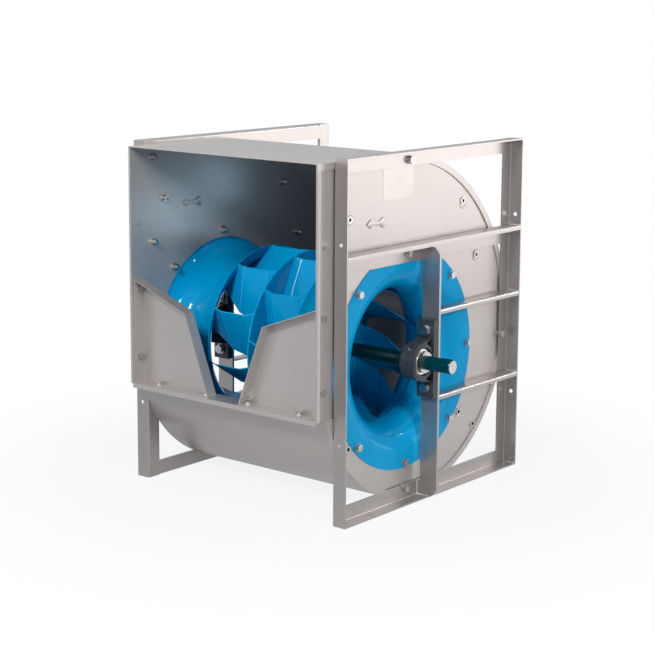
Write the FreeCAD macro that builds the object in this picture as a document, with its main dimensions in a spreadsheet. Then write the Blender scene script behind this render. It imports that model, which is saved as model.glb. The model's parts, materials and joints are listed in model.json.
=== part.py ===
import FreeCAD, Part
import math
import os
from types import SimpleNamespace

import Sketcher

# Double-inlet centrifugal fan in a bolted angle frame, millimetres.
# X runs along the shaft and points to its drive end, the air leaves towards -Y, Z points up.
# The origin is the centre of the four foot holes, on the plane that the frame stands on.

# Driving sizes, each written once. Everything else is worked out from them.
DRIVING_SIZES = {
    "frame_height": 735,
    "frame_depth": 610,
    "angle_leg": 33,
    "angle_sheet": 3,
    "angle_bend": 4,
    "shaft_setback": 236,
    "shaft_height": 301,
    "duct_half_width": 253.5,
    "plate_sheet": 2,
    "seam_sheet": 3,
    "seam_band": 12,
    "wrap_sheet": 1.5,
    "scroll_top_gap": 8,
    "scroll_bottom": 298,
    "scroll_start_radius": 295,
    "scroll_back_gap": 5,
    "scroll_shift": 34,
    "outlet_drop": 79,
    "outlet_reach": 284,
    "outlet_bead_radius": 4,
    "lip_depth": 46,
    "lip_flange": 10,
    "cutoff_sheet": 1.5,
    "cutoff_flange": 26,
    "cutoff_setback": 8,
    "cutoff_side_height": 222,
    "cutoff_notch_height": 168,
    "cutoff_notch_half": 107,
    "cutoff_foot_half": 42,
    "nozzle_sheet": 2,
    "nozzle_flange_radius": 232.5,
    "nozzle_root_radius": 204,
    "nozzle_bell_radius": 62,
    "nozzle_collar": 12,
    "nozzle_bolt_circle": 221,
    "nozzle_bolts": 8,
    "tap_circle": 187,
    "impeller_radius": 200,
    "impeller_rim_half": 112,
    "shroud_eye_radius": 148,
    "shroud_eye_half": 188,
    "shroud_sheet": 2,
    "disc_sheet": 3,
    "blade_count": 11,
    "blade_sheet": 2,
    "blade_offset": 126,
    "blade_crown": 5,
    "blade_inner_panel": 25,
    "blade_outer_panel": 19,
    "blade_chord_at_disc": 128,
    "blade_chord_at_crease": 101,
    "blade_chord_at_shroud": 62,
    "blade_start_angle": 9,
    "blade_eye_gap": 8,
    "shaft_radius": 15,
    "drive_end_reach": 89,
    "blind_end_reach": 39,
    "shaft_chamfer": 1.5,
    "keyway_width": 8,
    "keyway_depth": 4,
    "keyway_length": 26,
    "key_height": 7,
    "hub_key_length": 50,
    "end_groove": 1.6,
    "end_groove_depth": 0.5,
    "drive_end_length": 56,
    "hub_radius": 32,
    "hub_taper": 4,
    "hub_length": 66,
    "hub_flange_radius": 60,
    "hub_flange": 8,
    "hub_bolt_circle": 46,
    "hub_bolts": 6,
    "strut_sheet": 6,
    "strut_gap": 9.5,
    "strut_width": 43,
    "strut_chamfer": 13,
    "strut_chamfer_height": 14,
    "cross_rail_top": 544,
    "cross_rail_drop": 40,
    "cross_rail_lip": 10,
    "brace_spread": 91.5,
    "brace_lip": 10,
    "bearing_offset": 30.5,
    "bearing_centre_height": 43,
    "bearing_base_length": 165,
    "bearing_base_width": 42,
    "bearing_base_thickness": 15,
    "bearing_bolt_spacing": 121,
    "bearing_dome_radius": 40,
    "bearing_dome_width": 32,
    "bearing_shoulder": 46,
    "bearing_rim_radius": 36,
    "bearing_rim": 1.5,
    "bearing_pocket": 9,
    "nipple_radius": 4,
    "nipple_length": 9,
    "insert_radius": 31,
    "insert_width": 19,
    "insert_race_radius": 26.2,
    "inner_ring_radius": 19.6,
    "inner_ring_inside": 15.9,
    "inner_ring_outside": 22.2,
    "seal_sheet": 1,
    "collar_radius": 22.2,
    "collar_length": 11,
    "collar_screw_radius": 2.5,
    "running_clearance": 0.3,
    "fit_clearance": 0.05,
    "hole_clearance": 0.3,
    "frame_bolt_radius": 4,
    "frame_bolt_head": 8.5,
    "frame_bolt_head_height": 6.5,
    "bolt_flange_radius": 9,
    "bolt_flange": 2.5,
    "rivet_nut_radius": 5.5,
    "rivet_nut_flange": 7.5,
    "rivet_nut_length": 13,
    "rivet_nut_bulge_radius": 7.5,
    "rivet_nut_bulge": 4.5,
    "nozzle_bolt_radius": 4,
    "nozzle_bolt_head": 8.2,
    "nozzle_bolt_head_height": 6,
    "nozzle_nut_height": 5.5,
    "bearing_bolt_radius": 6,
    "bearing_bolt_head": 10.5,
    "bearing_bolt_head_height": 7.5,
    "bearing_washer_radius": 12,
    "bearing_washer": 2.5,
    "cutoff_bolt_radius": 3,
    "cutoff_bolt_head": 7.5,
    "cutoff_bolt_head_height": 5,
    "cutoff_bolt_upper": 202,
    "cutoff_bolt_lower": 54,
    "cutoff_bolt_inner": 58,
    "cutoff_bolt_outer": 195,
    "plate_rivet_radius": 4,
    "plate_rivet_head": 2,
    "plate_rivet_height": 564,
    "tap_radius": 2.5,
    "hub_bolt_radius": 4,
    "hub_bolt_head": 7.5,
    "hub_bolt_head_height": 5,
    "bolt_end": 13,
    "bottom_bolt_height": 26.5,
    "back_bolt_setback": 29,
    "back_bolt_drop": 37,
    "top_bolt_drop": 12.5,
    "top_bolt_shift": 20,
    "post_bolt_gauge": 17,
    "post_bolt_upper_drop": 34,
    "post_bolt_lower_drop": 25,
    "nut_front_reach": 98,
    "nut_top_drop": 117,
    "nut_upper_inset": 39,
    "nut_middle_inset": 79,
    "nut_back_inset": 24,
    "nut_lower_inset": 77,
    "nut_front_inset": 28,
    "foot_hole_radius": 5,
    "foot_hole_spread": 205,
    "foot_hole_gauge": 20,
    "post_hole_radius": 4.5,
    "post_hole_spread": 200,
    "post_hole_gauge": 18,
}

doc = FreeCAD.newDocument("centrifugal_fan")
sizes_sheet = doc.addObject("Spreadsheet::Sheet", "sizes")
for row, (alias, number) in enumerate(DRIVING_SIZES.items(), start=1):
    sizes_sheet.set(f"A{row}", alias.replace("_", " "))
    sizes_sheet.set(f"B{row}", str(number))
    sizes_sheet.setAlias(f"B{row}", alias)
doc.recompute()


class Size:
    """A length with its present value and the expression that ties it to the sheet."""

    def __init__(self, value, text):
        self.value = value
        self.text = text

    def __add__(self, other):
        other = as_size(other)
        return Size(self.value + other.value, f"({self.text} + {other.text})")

    def __sub__(self, other):
        other = as_size(other)
        return Size(self.value - other.value, f"({self.text} - {other.text})")

    def __mul__(self, other):
        other = as_size(other)
        return Size(self.value * other.value, f"({self.text} * {other.text})")

    def __truediv__(self, other):
        other = as_size(other)
        return Size(self.value / other.value, f"({self.text} / {other.text})")

    def __neg__(self):
        return Size(-self.value, f"(0 - {self.text})")

    def __radd__(self, other):
        return as_size(other) + self

    def __rsub__(self, other):
        return as_size(other) - self

    def __rmul__(self, other):
        return as_size(other) * self

    def __rtruediv__(self, other):
        return as_size(other) / self


def as_size(amount):
    return amount if isinstance(amount, Size) else Size(float(amount), f"({amount})")


def root(amount):
    return Size(math.sqrt(amount.value), f"sqrt({amount.text})")


def third_side(long_side, short_side):
    """The other short side of a right-angled triangle."""
    return root(long_side * long_side - short_side * short_side)


s = SimpleNamespace(**{name: Size(float(sizes_sheet.get(name)), f"sizes.{name}") for name in DRIVING_SIZES})

pieces = []


def drive(thing, prop, amount):
    thing.setExpression(prop, as_size(amount).text)


def keep(thing):
    """Lists an object as one of the fan's separate pieces, named as its file will be."""
    thing.Label = thing.Name
    pieces.append(thing)
    return thing


def place(thing, x=0, y=0, z=0, turn=None):
    """Sets where a piece stands and, where given, how far it is turned about its own X axis."""
    if turn is not None:
        thing.Placement.Rotation = FreeCAD.Rotation(FreeCAD.Vector(1, 0, 0), as_size(turn).value)
        drive(thing, "Placement.Rotation.Angle", turn)
    for axis, amount in (("x", x), ("y", y), ("z", z)):
        drive(thing, f"Placement.Base.{axis}", amount)


def new_body(name):
    return doc.addObject("PartDesign::Body", name)


def origin_part(body, role):
    return next(part for part in body.Origin.OriginFeatures if part.Role == role)


def new_sketch(body, role, offset=0):
    """A sketch on one of the body's own planes, moved along the plane's normal by the offset."""
    sketch = body.newObject("Sketcher::SketchObject", body.Name + "_sketch")
    sketch.AttachmentSupport = (origin_part(body, role), "")
    sketch.MapMode = "FlatFace"
    drive(sketch, "AttachmentOffset.Base.z", offset)
    return sketch


def arc_geometry(start, end, radius, turn):
    """The arc shorter than a half circle from start to end; turn is 1 anticlockwise, -1 clockwise."""
    chord = end - start
    rise = math.sqrt(max(radius ** 2 - (chord.Length / 2) ** 2, 0))
    left = FreeCAD.Vector(-chord.y, chord.x, 0).normalize()
    centre = (start + end) / 2 + left * rise * turn
    first, last = (start, end) if turn > 0 else (end, start)
    first_angle = math.atan2(first.y - centre.y, first.x - centre.x)
    last_angle = math.atan2(last.y - centre.y, last.x - centre.x)
    circle = Part.Circle(centre, FreeCAD.Vector(0, 0, 1), radius)
    return Part.ArcOfCircle(circle, first_angle, last_angle)


def draw(sketch, corners, arcs=None):
    """Draws a closed outline. arcs gives (radius, turn) by the number of the corner they start at."""
    arcs = arcs or {}
    corners = [(as_size(u), as_size(v)) for u, v in corners]
    points = [FreeCAD.Vector(u.value, v.value, 0) for u, v in corners]
    ends = []
    rules = []
    drivers = []
    for number, start in enumerate(points):
        end = points[(number + 1) % len(points)]
        if number in arcs:
            radius, turn = arcs[number]
            edge = sketch.addGeometry(arc_geometry(start, end, as_size(radius).value, turn), False)
            ends.append((edge, 1, 2) if turn > 0 else (edge, 2, 1))
            rules.append(Sketcher.Constraint("Radius", edge, as_size(radius).value))
            drivers.append(as_size(radius))
        else:
            edge = sketch.addGeometry(Part.LineSegment(start, end), False)
            ends.append((edge, 1, 2))
        for kind, amount in zip(("DistanceX", "DistanceY"), corners[number]):
            rules.append(Sketcher.Constraint(kind, -1, 1, edge, ends[-1][1], amount.value))
            drivers.append(amount)
    first_rule = sketch.ConstraintCount
    joins = [Sketcher.Constraint("Coincident", here[0], here[2], there[0], there[1])
             for here, there in zip(ends, ends[1:] + ends[:1])]
    sketch.addConstraint(rules + joins)
    for number, amount in enumerate(drivers):
        drive(sketch, f"Constraints[{first_rule + number}]", amount)


def draw_circle(sketch, u, v, radius):
    u, v, radius = as_size(u), as_size(v), as_size(radius)
    circle = Part.Circle(FreeCAD.Vector(u.value, v.value, 0), FreeCAD.Vector(0, 0, 1), radius.value)
    edge = sketch.addGeometry(circle, False)
    first_rule = sketch.ConstraintCount
    rules = [Sketcher.Constraint("DistanceX", -1, 1, edge, 3, u.value),
             Sketcher.Constraint("DistanceY", -1, 1, edge, 3, v.value),
             Sketcher.Constraint("Radius", edge, radius.value)]
    sketch.addConstraint(rules)
    for number, amount in enumerate((u, v, radius)):
        drive(sketch, f"Constraints[{first_rule + number}]", amount)


def draw_box(sketch, u_low, u_high, v_low, v_high):
    draw(sketch, [(u_low, v_low), (u_high, v_low), (u_high, v_high), (u_low, v_high)])


def draw_hexagon(sketch, u, v, corner_radius):
    corners = []
    for corner in range(6):
        angle = math.radians(60 * corner + 30)
        corners.append((u + corner_radius * round(math.cos(angle), 6), v + corner_radius * round(math.sin(angle), 6)))
    draw(sketch, corners)


def pad(sketch, length, backwards=False):
    feature = sketch.getParentGeoFeatureGroup().newObject("PartDesign::Pad", sketch.Name + "_pad")
    feature.Profile = sketch
    feature.Reversed = backwards
    drive(feature, "Length", length)
    return feature


def cut(sketch, depth, backwards=False):
    """Cuts against the sketch's normal, or along it when backwards."""
    feature = sketch.getParentGeoFeatureGroup().newObject("PartDesign::Pocket", sketch.Name + "_pocket")
    feature.Profile = sketch
    feature.Reversed = backwards
    drive(feature, "Length", depth)
    return feature


def spin(sketch, kind="Revolution"):
    """Turns a profile once round the sketch's horizontal axis; kind Groove takes material away."""
    feature = sketch.getParentGeoFeatureGroup().newObject(f"PartDesign::{kind}", f"{sketch.Name}_{kind}")
    feature.Profile = sketch
    feature.ReferenceAxis = (sketch, ["H_Axis"])
    feature.Angle = 360
    return feature


def repeat_round(body, feature, count):
    """Copies everything made so far, which ends in the feature, round the body's X axis."""
    pattern = body.newObject("PartDesign::PolarPattern", body.Name + "_pattern")
    pattern.TransformMode = "Whole shape"
    pattern.BaseFeature = feature
    pattern.Axis = (origin_part(body, "X_Axis"), [""])
    pattern.Angle = 360
    drive(pattern, "Occurrences", count)
    body.Tip = pattern
    return pattern


def mirrored_piece(source, name):
    """The same piece on the blind side of the fan."""
    other = doc.addObject("Part::Mirroring", name)
    other.Source = source
    other.Normal = FreeCAD.Vector(1, 0, 0)
    return keep(other)


# Places that several pieces share
plate_outer = s.duct_half_width + s.plate_sheet
frame_plane = plate_outer + s.seam_sheet
frame_outer = frame_plane + s.angle_leg
frame_front = -s.frame_depth / 2
frame_back = s.frame_depth / 2
axis_y = frame_front + s.shaft_setback
axis_z = s.shaft_height
leg_face = frame_plane + s.angle_sheet
hub_start = s.disc_sheet / 2
strut_inner = frame_plane + s.strut_gap
strut_outer = strut_inner + s.strut_width
bearing_half_span = frame_plane + s.bearing_offset
shaft_drive_end = bearing_half_span + s.drive_end_reach
shaft_blind_end = bearing_half_span + s.blind_end_reach


# Scroll outline, measured from the shaft axis: three arcs that tighten from the top to the lip
scroll_top = s.frame_height - s.shaft_height - s.scroll_top_gap
back_radius = s.frame_depth - s.shaft_setback - s.scroll_back_gap - s.scroll_shift
top_centre_z = back_radius - s.scroll_bottom
start_centre_z = s.scroll_start_radius - s.scroll_bottom
top_radius = scroll_top - top_centre_z
top_centre_y = s.scroll_shift - (top_radius - back_radius)
outlet_bottom = -s.outlet_drop
wrap_end_z = outlet_bottom - s.wrap_sheet
lip_front = -s.outlet_reach


def scroll_path(inset):
    """Corners from the outlet's top edge round to the lip, moved inwards by the inset."""
    end_reach = third_side(s.scroll_start_radius - inset, wrap_end_z - start_centre_z)
    return [
        (lip_front, scroll_top - inset),
        (top_centre_y, scroll_top - inset),
        (top_centre_y + top_radius - inset, top_centre_z),
        (s.scroll_shift, inset - s.scroll_bottom),
        (s.scroll_shift - end_reach, wrap_end_z),
    ]


def scroll_arcs(inset, turn=-1, first=1):
    radii = [top_radius - inset, back_radius - inset, s.scroll_start_radius - inset]
    if turn > 0:
        radii.reverse()
    return {first + number: (radius, turn) for number, radius in enumerate(radii)}


def scroll_strip(sketch, outer_inset, inner_inset):
    """A strip that follows the scroll between two insets."""
    corners = scroll_path(outer_inset) + scroll_path(inner_inset)[::-1]
    arcs = {**scroll_arcs(outer_inset), **scroll_arcs(inner_inset, turn=1, first=5)}
    draw(sketch, corners, arcs)


def ring_places(count, radius, first_angle=0.0):
    """Places on a circle round the shaft axis."""
    places = []
    for number in range(count):
        angle = math.radians(first_angle + 360 * number / count)
        places.append((radius * round(math.cos(angle), 6), radius * round(math.sin(angle), 6)))
    return places


def place_in_arc(arc, inset, degrees):
    """The place inside an arc, at an angle from the level towards the back."""
    centre_y, centre_z, radius = arc
    angle = math.radians(degrees)
    reach = radius - inset
    return centre_y + reach * round(math.cos(angle), 6), centre_z + reach * round(math.sin(angle), 6)


# Fastener places on a side plate, measured from the shaft axis
nozzle_bolt_places = ring_places(int(s.nozzle_bolts.value), s.nozzle_bolt_circle)
cross_rail_bolt_place = nozzle_bolt_places[2]
front_post_bolt_place = nozzle_bolt_places[4]
long_bolt_places = [cross_rail_bolt_place, front_post_bolt_place]
short_bolt_places = [spot for spot in nozzle_bolt_places if spot not in long_bolt_places]
top_bolt_place = (top_centre_y + s.top_bolt_shift, scroll_top - s.top_bolt_drop)
bottom_bolt_place = (as_size(0), s.bottom_bolt_height - s.shaft_height)
back_bolt_place = (s.frame_depth - s.shaft_setback - s.back_bolt_setback, top_centre_z - s.back_bolt_drop)
post_bolt_y = s.post_bolt_gauge - s.shaft_setback
post_bolt_places = [
    (post_bolt_y, s.frame_height - s.post_bolt_upper_drop - s.shaft_height),
    (post_bolt_y, s.cross_rail_top - s.post_bolt_lower_drop - s.shaft_height),
]
frame_bolt_places = [bottom_bolt_place, back_bolt_place] + post_bolt_places
# Rivet nuts that nothing is screwed into: each lies inside one of the scroll's arcs, at an angle
top_arc = (top_centre_y, top_centre_z, top_radius)
back_arc = (s.scroll_shift, top_centre_z, back_radius)
start_arc = (s.scroll_shift, start_centre_z, as_size(s.scroll_start_radius))
spare_nut_places = [
    (s.nut_front_reach - s.outlet_reach, scroll_top - s.nut_top_drop),
    place_in_arc(top_arc, s.nut_upper_inset, 51.5),
    place_in_arc(top_arc, s.nut_middle_inset, 29.4),
    place_in_arc(back_arc, s.nut_back_inset, -46.2),
    place_in_arc(start_arc, s.nut_lower_inset, -42.4),
    place_in_arc(start_arc, s.nut_front_inset, -145.5),
]
nut_places = frame_bolt_places + spare_nut_places


# Cut-off plates: their front edges, V notch and bolts, measured from the shaft axis
cutoff_front = lip_front + s.cutoff_setback
cutoff_face = cutoff_front + s.cutoff_flange
cutoff_outline = [
    (s.cutoff_foot_half, outlet_bottom),
    (s.duct_half_width, outlet_bottom),
    (s.duct_half_width, outlet_bottom + s.cutoff_side_height),
    (s.cutoff_notch_half, outlet_bottom + s.cutoff_notch_height),
]
cutoff_bolt_y = (cutoff_front + cutoff_face) / 2
cutoff_side_places = [(cutoff_bolt_y, outlet_bottom + rise) for rise in (s.cutoff_bolt_lower, s.cutoff_bolt_upper)]
cutoff_foot_places = [(reach, cutoff_bolt_y) for reach in (s.cutoff_bolt_inner, s.cutoff_bolt_outer)]


def make_scroll_wrap():
    """The rolled sheet round the impeller, with its edges folded over both side plates."""
    body = new_body("scroll_wrap")
    shell = new_sketch(body, "YZ_Plane", -frame_plane)
    scroll_strip(shell, as_size(0), s.wrap_sheet)
    pad(shell, frame_plane * 2)
    band_end = s.wrap_sheet + s.seam_band
    for offset in (plate_outer, -frame_plane):
        band = new_sketch(body, "YZ_Plane", offset)
        scroll_strip(band, s.wrap_sheet, band_end)
        pad(band, s.seam_sheet)
        notch = new_sketch(body, "YZ_Plane", offset + s.seam_sheet)
        draw_circle(notch, *top_bolt_place, s.frame_bolt_radius + s.hole_clearance)
        cut(notch, s.seam_sheet)
    place(keep(body), y=axis_y, z=axis_z)


def make_side_plate():
    """A flat side of the scroll, with the nozzle's hole, a rolled front edge and its fastener holes."""
    body = new_body("side_plate_right")
    outline = new_sketch(body, "YZ_Plane", s.duct_half_width)
    draw(outline, scroll_path(s.wrap_sheet) + [(lip_front, wrap_end_z)], scroll_arcs(s.wrap_sheet))
    draw_circle(outline, 0, 0, s.nozzle_root_radius + s.hole_clearance)
    for y, z in nozzle_bolt_places:
        draw_circle(outline, y, z, s.nozzle_bolt_radius + s.hole_clearance)
    for y, z in nut_places:
        draw_circle(outline, y, z, s.rivet_nut_radius + s.hole_clearance)
    draw_circle(outline, *top_bolt_place, s.frame_bolt_radius + s.hole_clearance)
    for y, z in cutoff_side_places:
        draw_circle(outline, y, z, s.cutoff_bolt_radius + s.hole_clearance)
    draw_circle(outline, cutoff_bolt_y, s.plate_rivet_height - s.shaft_height,
                s.cutoff_bolt_radius + s.hole_clearance)
    pad(outline, s.plate_sheet)
    bead = new_sketch(body, "XY_Plane", wrap_end_z)
    draw_circle(bead, s.duct_half_width + s.outlet_bead_radius, lip_front + s.outlet_bead_radius,
                s.outlet_bead_radius)
    pad(bead, scroll_top - s.wrap_sheet - s.seam_band - wrap_end_z)
    place(keep(body), y=axis_y, z=axis_z)
    mirrored_piece(body, "side_plate_left")


def make_outlet_lip():
    """The floor of the outlet, folded down along its front edge."""
    body = new_body("outlet_lip")
    section = new_sketch(body, "YZ_Plane", -s.duct_half_width)
    inner_front = lip_front + s.wrap_sheet
    draw(section, [
        (lip_front, outlet_bottom),
        (lip_front, outlet_bottom - s.lip_flange),
        (inner_front, outlet_bottom - s.lip_flange),
        (inner_front, wrap_end_z),
        (lip_front + s.lip_depth, wrap_end_z),
        (lip_front + s.lip_depth, outlet_bottom),
    ])
    pad(section, s.duct_half_width * 2)
    holes = new_sketch(body, "XY_Plane", outlet_bottom)
    for x, y in cutoff_foot_places:
        for side in (-1, 1):
            draw_circle(holes, side * x, y, s.cutoff_bolt_radius + s.hole_clearance)
    cut(holes, s.wrap_sheet)
    place(keep(body), y=axis_y, z=axis_z)


def inset_outline(corners, inset):
    """A convex anticlockwise outline moved inwards on every side."""
    moved = []
    for number, corner in enumerate(corners):
        before = corners[number - 1]
        after = corners[(number + 1) % len(corners)]
        first_run = (corner[0] - before[0], corner[1] - before[1])
        next_run = (after[0] - corner[0], after[1] - corner[1])
        first_length = root(first_run[0] * first_run[0] + first_run[1] * first_run[1])
        next_length = root(next_run[0] * next_run[0] + next_run[1] * next_run[1])
        cross = (first_run[0] * next_run[1] - first_run[1] * next_run[0]) / (first_length * next_length)
        shift_u = (next_run[0] / next_length - first_run[0] / first_length) * inset / cross
        shift_v = (next_run[1] / next_length - first_run[1] / first_length) * inset / cross
        moved.append((corner[0] + shift_u, corner[1] + shift_v))
    return moved


def make_cutoff_plate():
    """A tray-shaped plate low in the outlet: a flat face with a flange bent forward on every edge."""
    body = new_body("cutoff_plate_right")
    tray = new_sketch(body, "XZ_Plane", -cutoff_face)
    draw(tray, cutoff_outline)
    pad(tray, s.cutoff_flange)
    hollow = new_sketch(body, "XZ_Plane", -cutoff_front)
    draw(hollow, inset_outline(cutoff_outline, s.cutoff_sheet))
    cut(hollow, s.cutoff_flange - s.cutoff_sheet)
    side_holes = new_sketch(body, "YZ_Plane", s.duct_half_width)
    for y, z in cutoff_side_places:
        draw_circle(side_holes, y, z, s.cutoff_bolt_radius + s.hole_clearance)
    cut(side_holes, s.cutoff_sheet)
    foot_holes = new_sketch(body, "XY_Plane", outlet_bottom + s.cutoff_sheet)
    for x, y in cutoff_foot_places:
        draw_circle(foot_holes, x, y, s.cutoff_bolt_radius + s.hole_clearance)
    cut(foot_holes, s.cutoff_sheet)
    place(keep(body), y=axis_y, z=axis_z)
    mirrored_piece(body, "cutoff_plate_left")


def make_inlet_nozzle():
    """A spun bell that leads the air from the flange into the impeller's eye."""
    body = new_body("inlet_nozzle_right")
    flange_face = plate_outer + s.nozzle_sheet
    bell_end = flange_face - s.nozzle_bell_radius
    throat = s.nozzle_root_radius - s.nozzle_bell_radius
    profile = new_sketch(body, "XY_Plane")
    draw(profile, [
        (flange_face, s.nozzle_flange_radius),
        (plate_outer, s.nozzle_flange_radius),
        (plate_outer, s.nozzle_root_radius),
        (bell_end, throat + s.nozzle_sheet),
        (bell_end - s.nozzle_collar, throat + s.nozzle_sheet),
        (bell_end - s.nozzle_collar, throat),
        (bell_end, throat),
        (flange_face, s.nozzle_root_radius),
    ], {2: (s.nozzle_bell_radius - s.nozzle_sheet, -1), 6: (s.nozzle_bell_radius, 1)})
    spin(profile)
    holes = new_sketch(body, "YZ_Plane", flange_face)
    for y, z in nozzle_bolt_places:
        draw_circle(holes, y, z, s.nozzle_bolt_radius + s.hole_clearance)
    draw_circle(holes, -s.tap_circle / 2, s.tap_circle * round(math.sin(math.radians(60)), 6), s.tap_radius)
    cut(holes, s.nozzle_bell_radius)
    place(keep(body), y=axis_y, z=axis_z)
    mirrored_piece(body, "inlet_nozzle_left")


def angle_section(corner, leg_a, leg_b, sheet, bend):
    """An L section from its outer corner; leg_a and leg_b are (u, v, length) with unit directions."""
    def point(along_a, along_b):
        return (corner[0] + along_a * leg_a[0] + along_b * leg_b[0],
                corner[1] + along_a * leg_a[1] + along_b * leg_b[1])
    turn = leg_a[0] * leg_b[1] - leg_a[1] * leg_b[0]
    nothing = as_size(0)
    corners = [
        point(leg_a[2], nothing),
        point(leg_a[2], sheet),
        point(bend, sheet),
        point(sheet, bend),
        point(sheet, leg_b[2]),
        point(nothing, leg_b[2]),
        point(nothing, bend),
        point(bend, nothing),
    ]
    arcs = {2: (bend - sheet, -turn), 6: (bend, turn)}
    return corners, arcs


def make_post(name, corner_y, inward):
    """An upright angle: one leg in the side plane, the other square to it and pointing outwards."""
    body = new_body(name)
    section = new_sketch(body, "XY_Plane")
    corners, arcs = angle_section((frame_plane, corner_y), (0, inward, s.angle_leg), (1, 0, s.angle_leg),
                                  s.angle_sheet, s.angle_bend)
    draw(section, corners, arcs)
    pad(section, s.frame_height)
    holes = new_sketch(body, "XZ_Plane", -corner_y)
    for side in (-1, 1):
        draw_circle(holes, frame_plane + s.post_hole_gauge, s.frame_height / 2 + side * s.post_hole_spread,
                    s.post_hole_radius)
    cut(holes, s.angle_sheet, backwards=inward < 0)
    bolt_holes = new_sketch(body, "YZ_Plane", leg_face)
    if inward > 0:
        bolt_y, bolt_z = front_post_bolt_place
        draw_circle(bolt_holes, axis_y + bolt_y, axis_z + bolt_z, s.nozzle_bolt_radius + s.hole_clearance)
    for bolt_y, bolt_z in post_bolt_places if inward > 0 else [back_bolt_place]:
        draw_circle(bolt_holes, axis_y + bolt_y, axis_z + bolt_z, s.frame_bolt_radius + s.hole_clearance)
    cut(bolt_holes, s.angle_sheet)
    place(keep(body))
    return body


def make_rail(name, corner_z, inward):
    """A level angle between the posts, its side leg coped so that it meets their legs edge to edge."""
    body = new_body(name)
    coped_end = frame_back - s.angle_leg
    section = new_sketch(body, "XZ_Plane", -coped_end)
    corners, arcs = angle_section((frame_plane, corner_z), (0, inward, s.angle_leg), (1, 0, s.angle_leg),
                                  s.angle_sheet, s.angle_bend)
    draw(section, corners, arcs)
    pad(section, coped_end * 2)
    shelf = new_sketch(body, "XY_Plane", corner_z)
    full_end = frame_back - s.angle_sheet
    draw_box(shelf, frame_plane + s.angle_bend, frame_outer, -full_end, full_end)
    pad(shelf, s.angle_sheet, backwards=inward < 0)
    bolt_hole = new_sketch(body, "YZ_Plane", leg_face)
    bolt_y, bolt_z = bottom_bolt_place if inward > 0 else top_bolt_place
    draw_circle(bolt_hole, axis_y + bolt_y, axis_z + bolt_z, s.frame_bolt_radius + s.hole_clearance)
    cut(bolt_hole, s.angle_sheet)
    if inward > 0:
        feet = new_sketch(body, "XY_Plane", s.angle_sheet)
        for side in (-1, 1):
            draw_circle(feet, frame_plane + s.foot_hole_gauge, side * s.foot_hole_spread, s.foot_hole_radius)
        cut(feet, s.angle_sheet)
    place(keep(body))
    return body


def make_cross_rail():
    """The rail above the nozzle: a side leg, a shelf and a lip folded down along its outer edge."""
    body = new_body("cross_rail_right")
    coped_end = frame_back - s.angle_leg
    section = new_sketch(body, "XZ_Plane", -coped_end)
    corners, arcs = angle_section((frame_plane, s.cross_rail_top), (0, -1, s.cross_rail_drop),
                                  (1, 0, s.angle_leg), s.angle_sheet, s.angle_bend)
    draw(section, corners, arcs)
    pad(section, coped_end * 2)
    folded = new_sketch(body, "XZ_Plane", s.angle_sheet - frame_back)
    draw_lipped_shelf(folded, frame_plane + s.angle_bend, s.cross_rail_top, s.cross_rail_lip)
    pad(folded, s.frame_depth - 2 * s.angle_sheet)
    top_hole = new_sketch(body, "YZ_Plane", leg_face)
    draw_circle(top_hole, axis_y, axis_z + s.nozzle_bolt_circle, s.nozzle_bolt_radius + s.hole_clearance)
    cut(top_hole, s.angle_sheet)
    place(keep(body))
    mirrored_piece(body, "cross_rail_left")


def draw_lipped_shelf(sketch, inner_x, top_z, lip):
    draw(sketch, [
        (inner_x, top_z),
        (inner_x, top_z - s.angle_sheet),
        (frame_outer - s.angle_sheet, top_z - s.angle_sheet),
        (frame_outer - s.angle_sheet, top_z - lip),
        (frame_outer, top_z - lip),
        (frame_outer, top_z - s.angle_bend),
        (frame_outer - s.angle_bend, top_z),
    ], {5: (s.angle_bend, 1)})


strut_front = axis_y + s.bearing_centre_height
strut_back = strut_front + s.strut_sheet


def make_strut():
    """The upright bar that carries a bearing, set off from the side plate to clear the nozzle."""
    body = new_body("bearing_strut_right")
    plan = new_sketch(body, "XZ_Plane", -strut_front)
    foot_z = s.angle_sheet
    head_z = s.cross_rail_top - s.cross_rail_lip
    tab_z = s.cross_rail_top - s.cross_rail_drop
    draw(plan, [
        (frame_plane + s.angle_bend, foot_z),
        (strut_outer - s.strut_chamfer, foot_z),
        (strut_outer, foot_z + s.strut_chamfer_height),
        (strut_outer, head_z - s.strut_chamfer_height),
        (strut_outer - s.strut_chamfer, head_z),
        (leg_face, head_z),
        (leg_face, tab_z),
        (strut_inner, tab_z),
        (strut_inner, s.angle_leg),
        (frame_plane + s.angle_bend, s.angle_leg),
    ])
    for side in (-1, 1):
        draw_circle(plan, bearing_half_span, axis_z + side * s.bearing_bolt_spacing / 2,
                    s.bearing_bolt_radius + s.hole_clearance)
    pad(plan, s.strut_sheet, backwards=True)
    place(keep(body))
    mirrored_piece(body, "bearing_strut_left")


def make_brace(name, middle_z):
    """A lipped bar that stays the strut against the back post."""
    body = new_body(name)
    section = new_sketch(body, "XZ_Plane", s.angle_sheet - frame_back)
    draw_lipped_shelf(section, frame_plane + s.angle_bend, middle_z + s.brace_lip / 2, s.brace_lip)
    pad(section, frame_back - s.angle_sheet - strut_back)
    place(keep(body))
    return body


def make_frame():
    for name, corner_y, inward in (("front_post", frame_front, 1), ("back_post", frame_back, -1)):
        mirrored_piece(make_post(name + "_right", corner_y, inward), name + "_left")
    for name, corner_z, inward in (("bottom_rail", as_size(0), 1), ("top_rail", s.frame_height, -1)):
        mirrored_piece(make_rail(name + "_right", corner_z, inward), name + "_left")
    make_cross_rail()
    make_strut()
    for name, side in (("upper_brace", 1), ("lower_brace", -1)):
        mirrored_piece(make_brace(name + "_right", axis_z + side * s.brace_spread), name + "_left")


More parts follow.
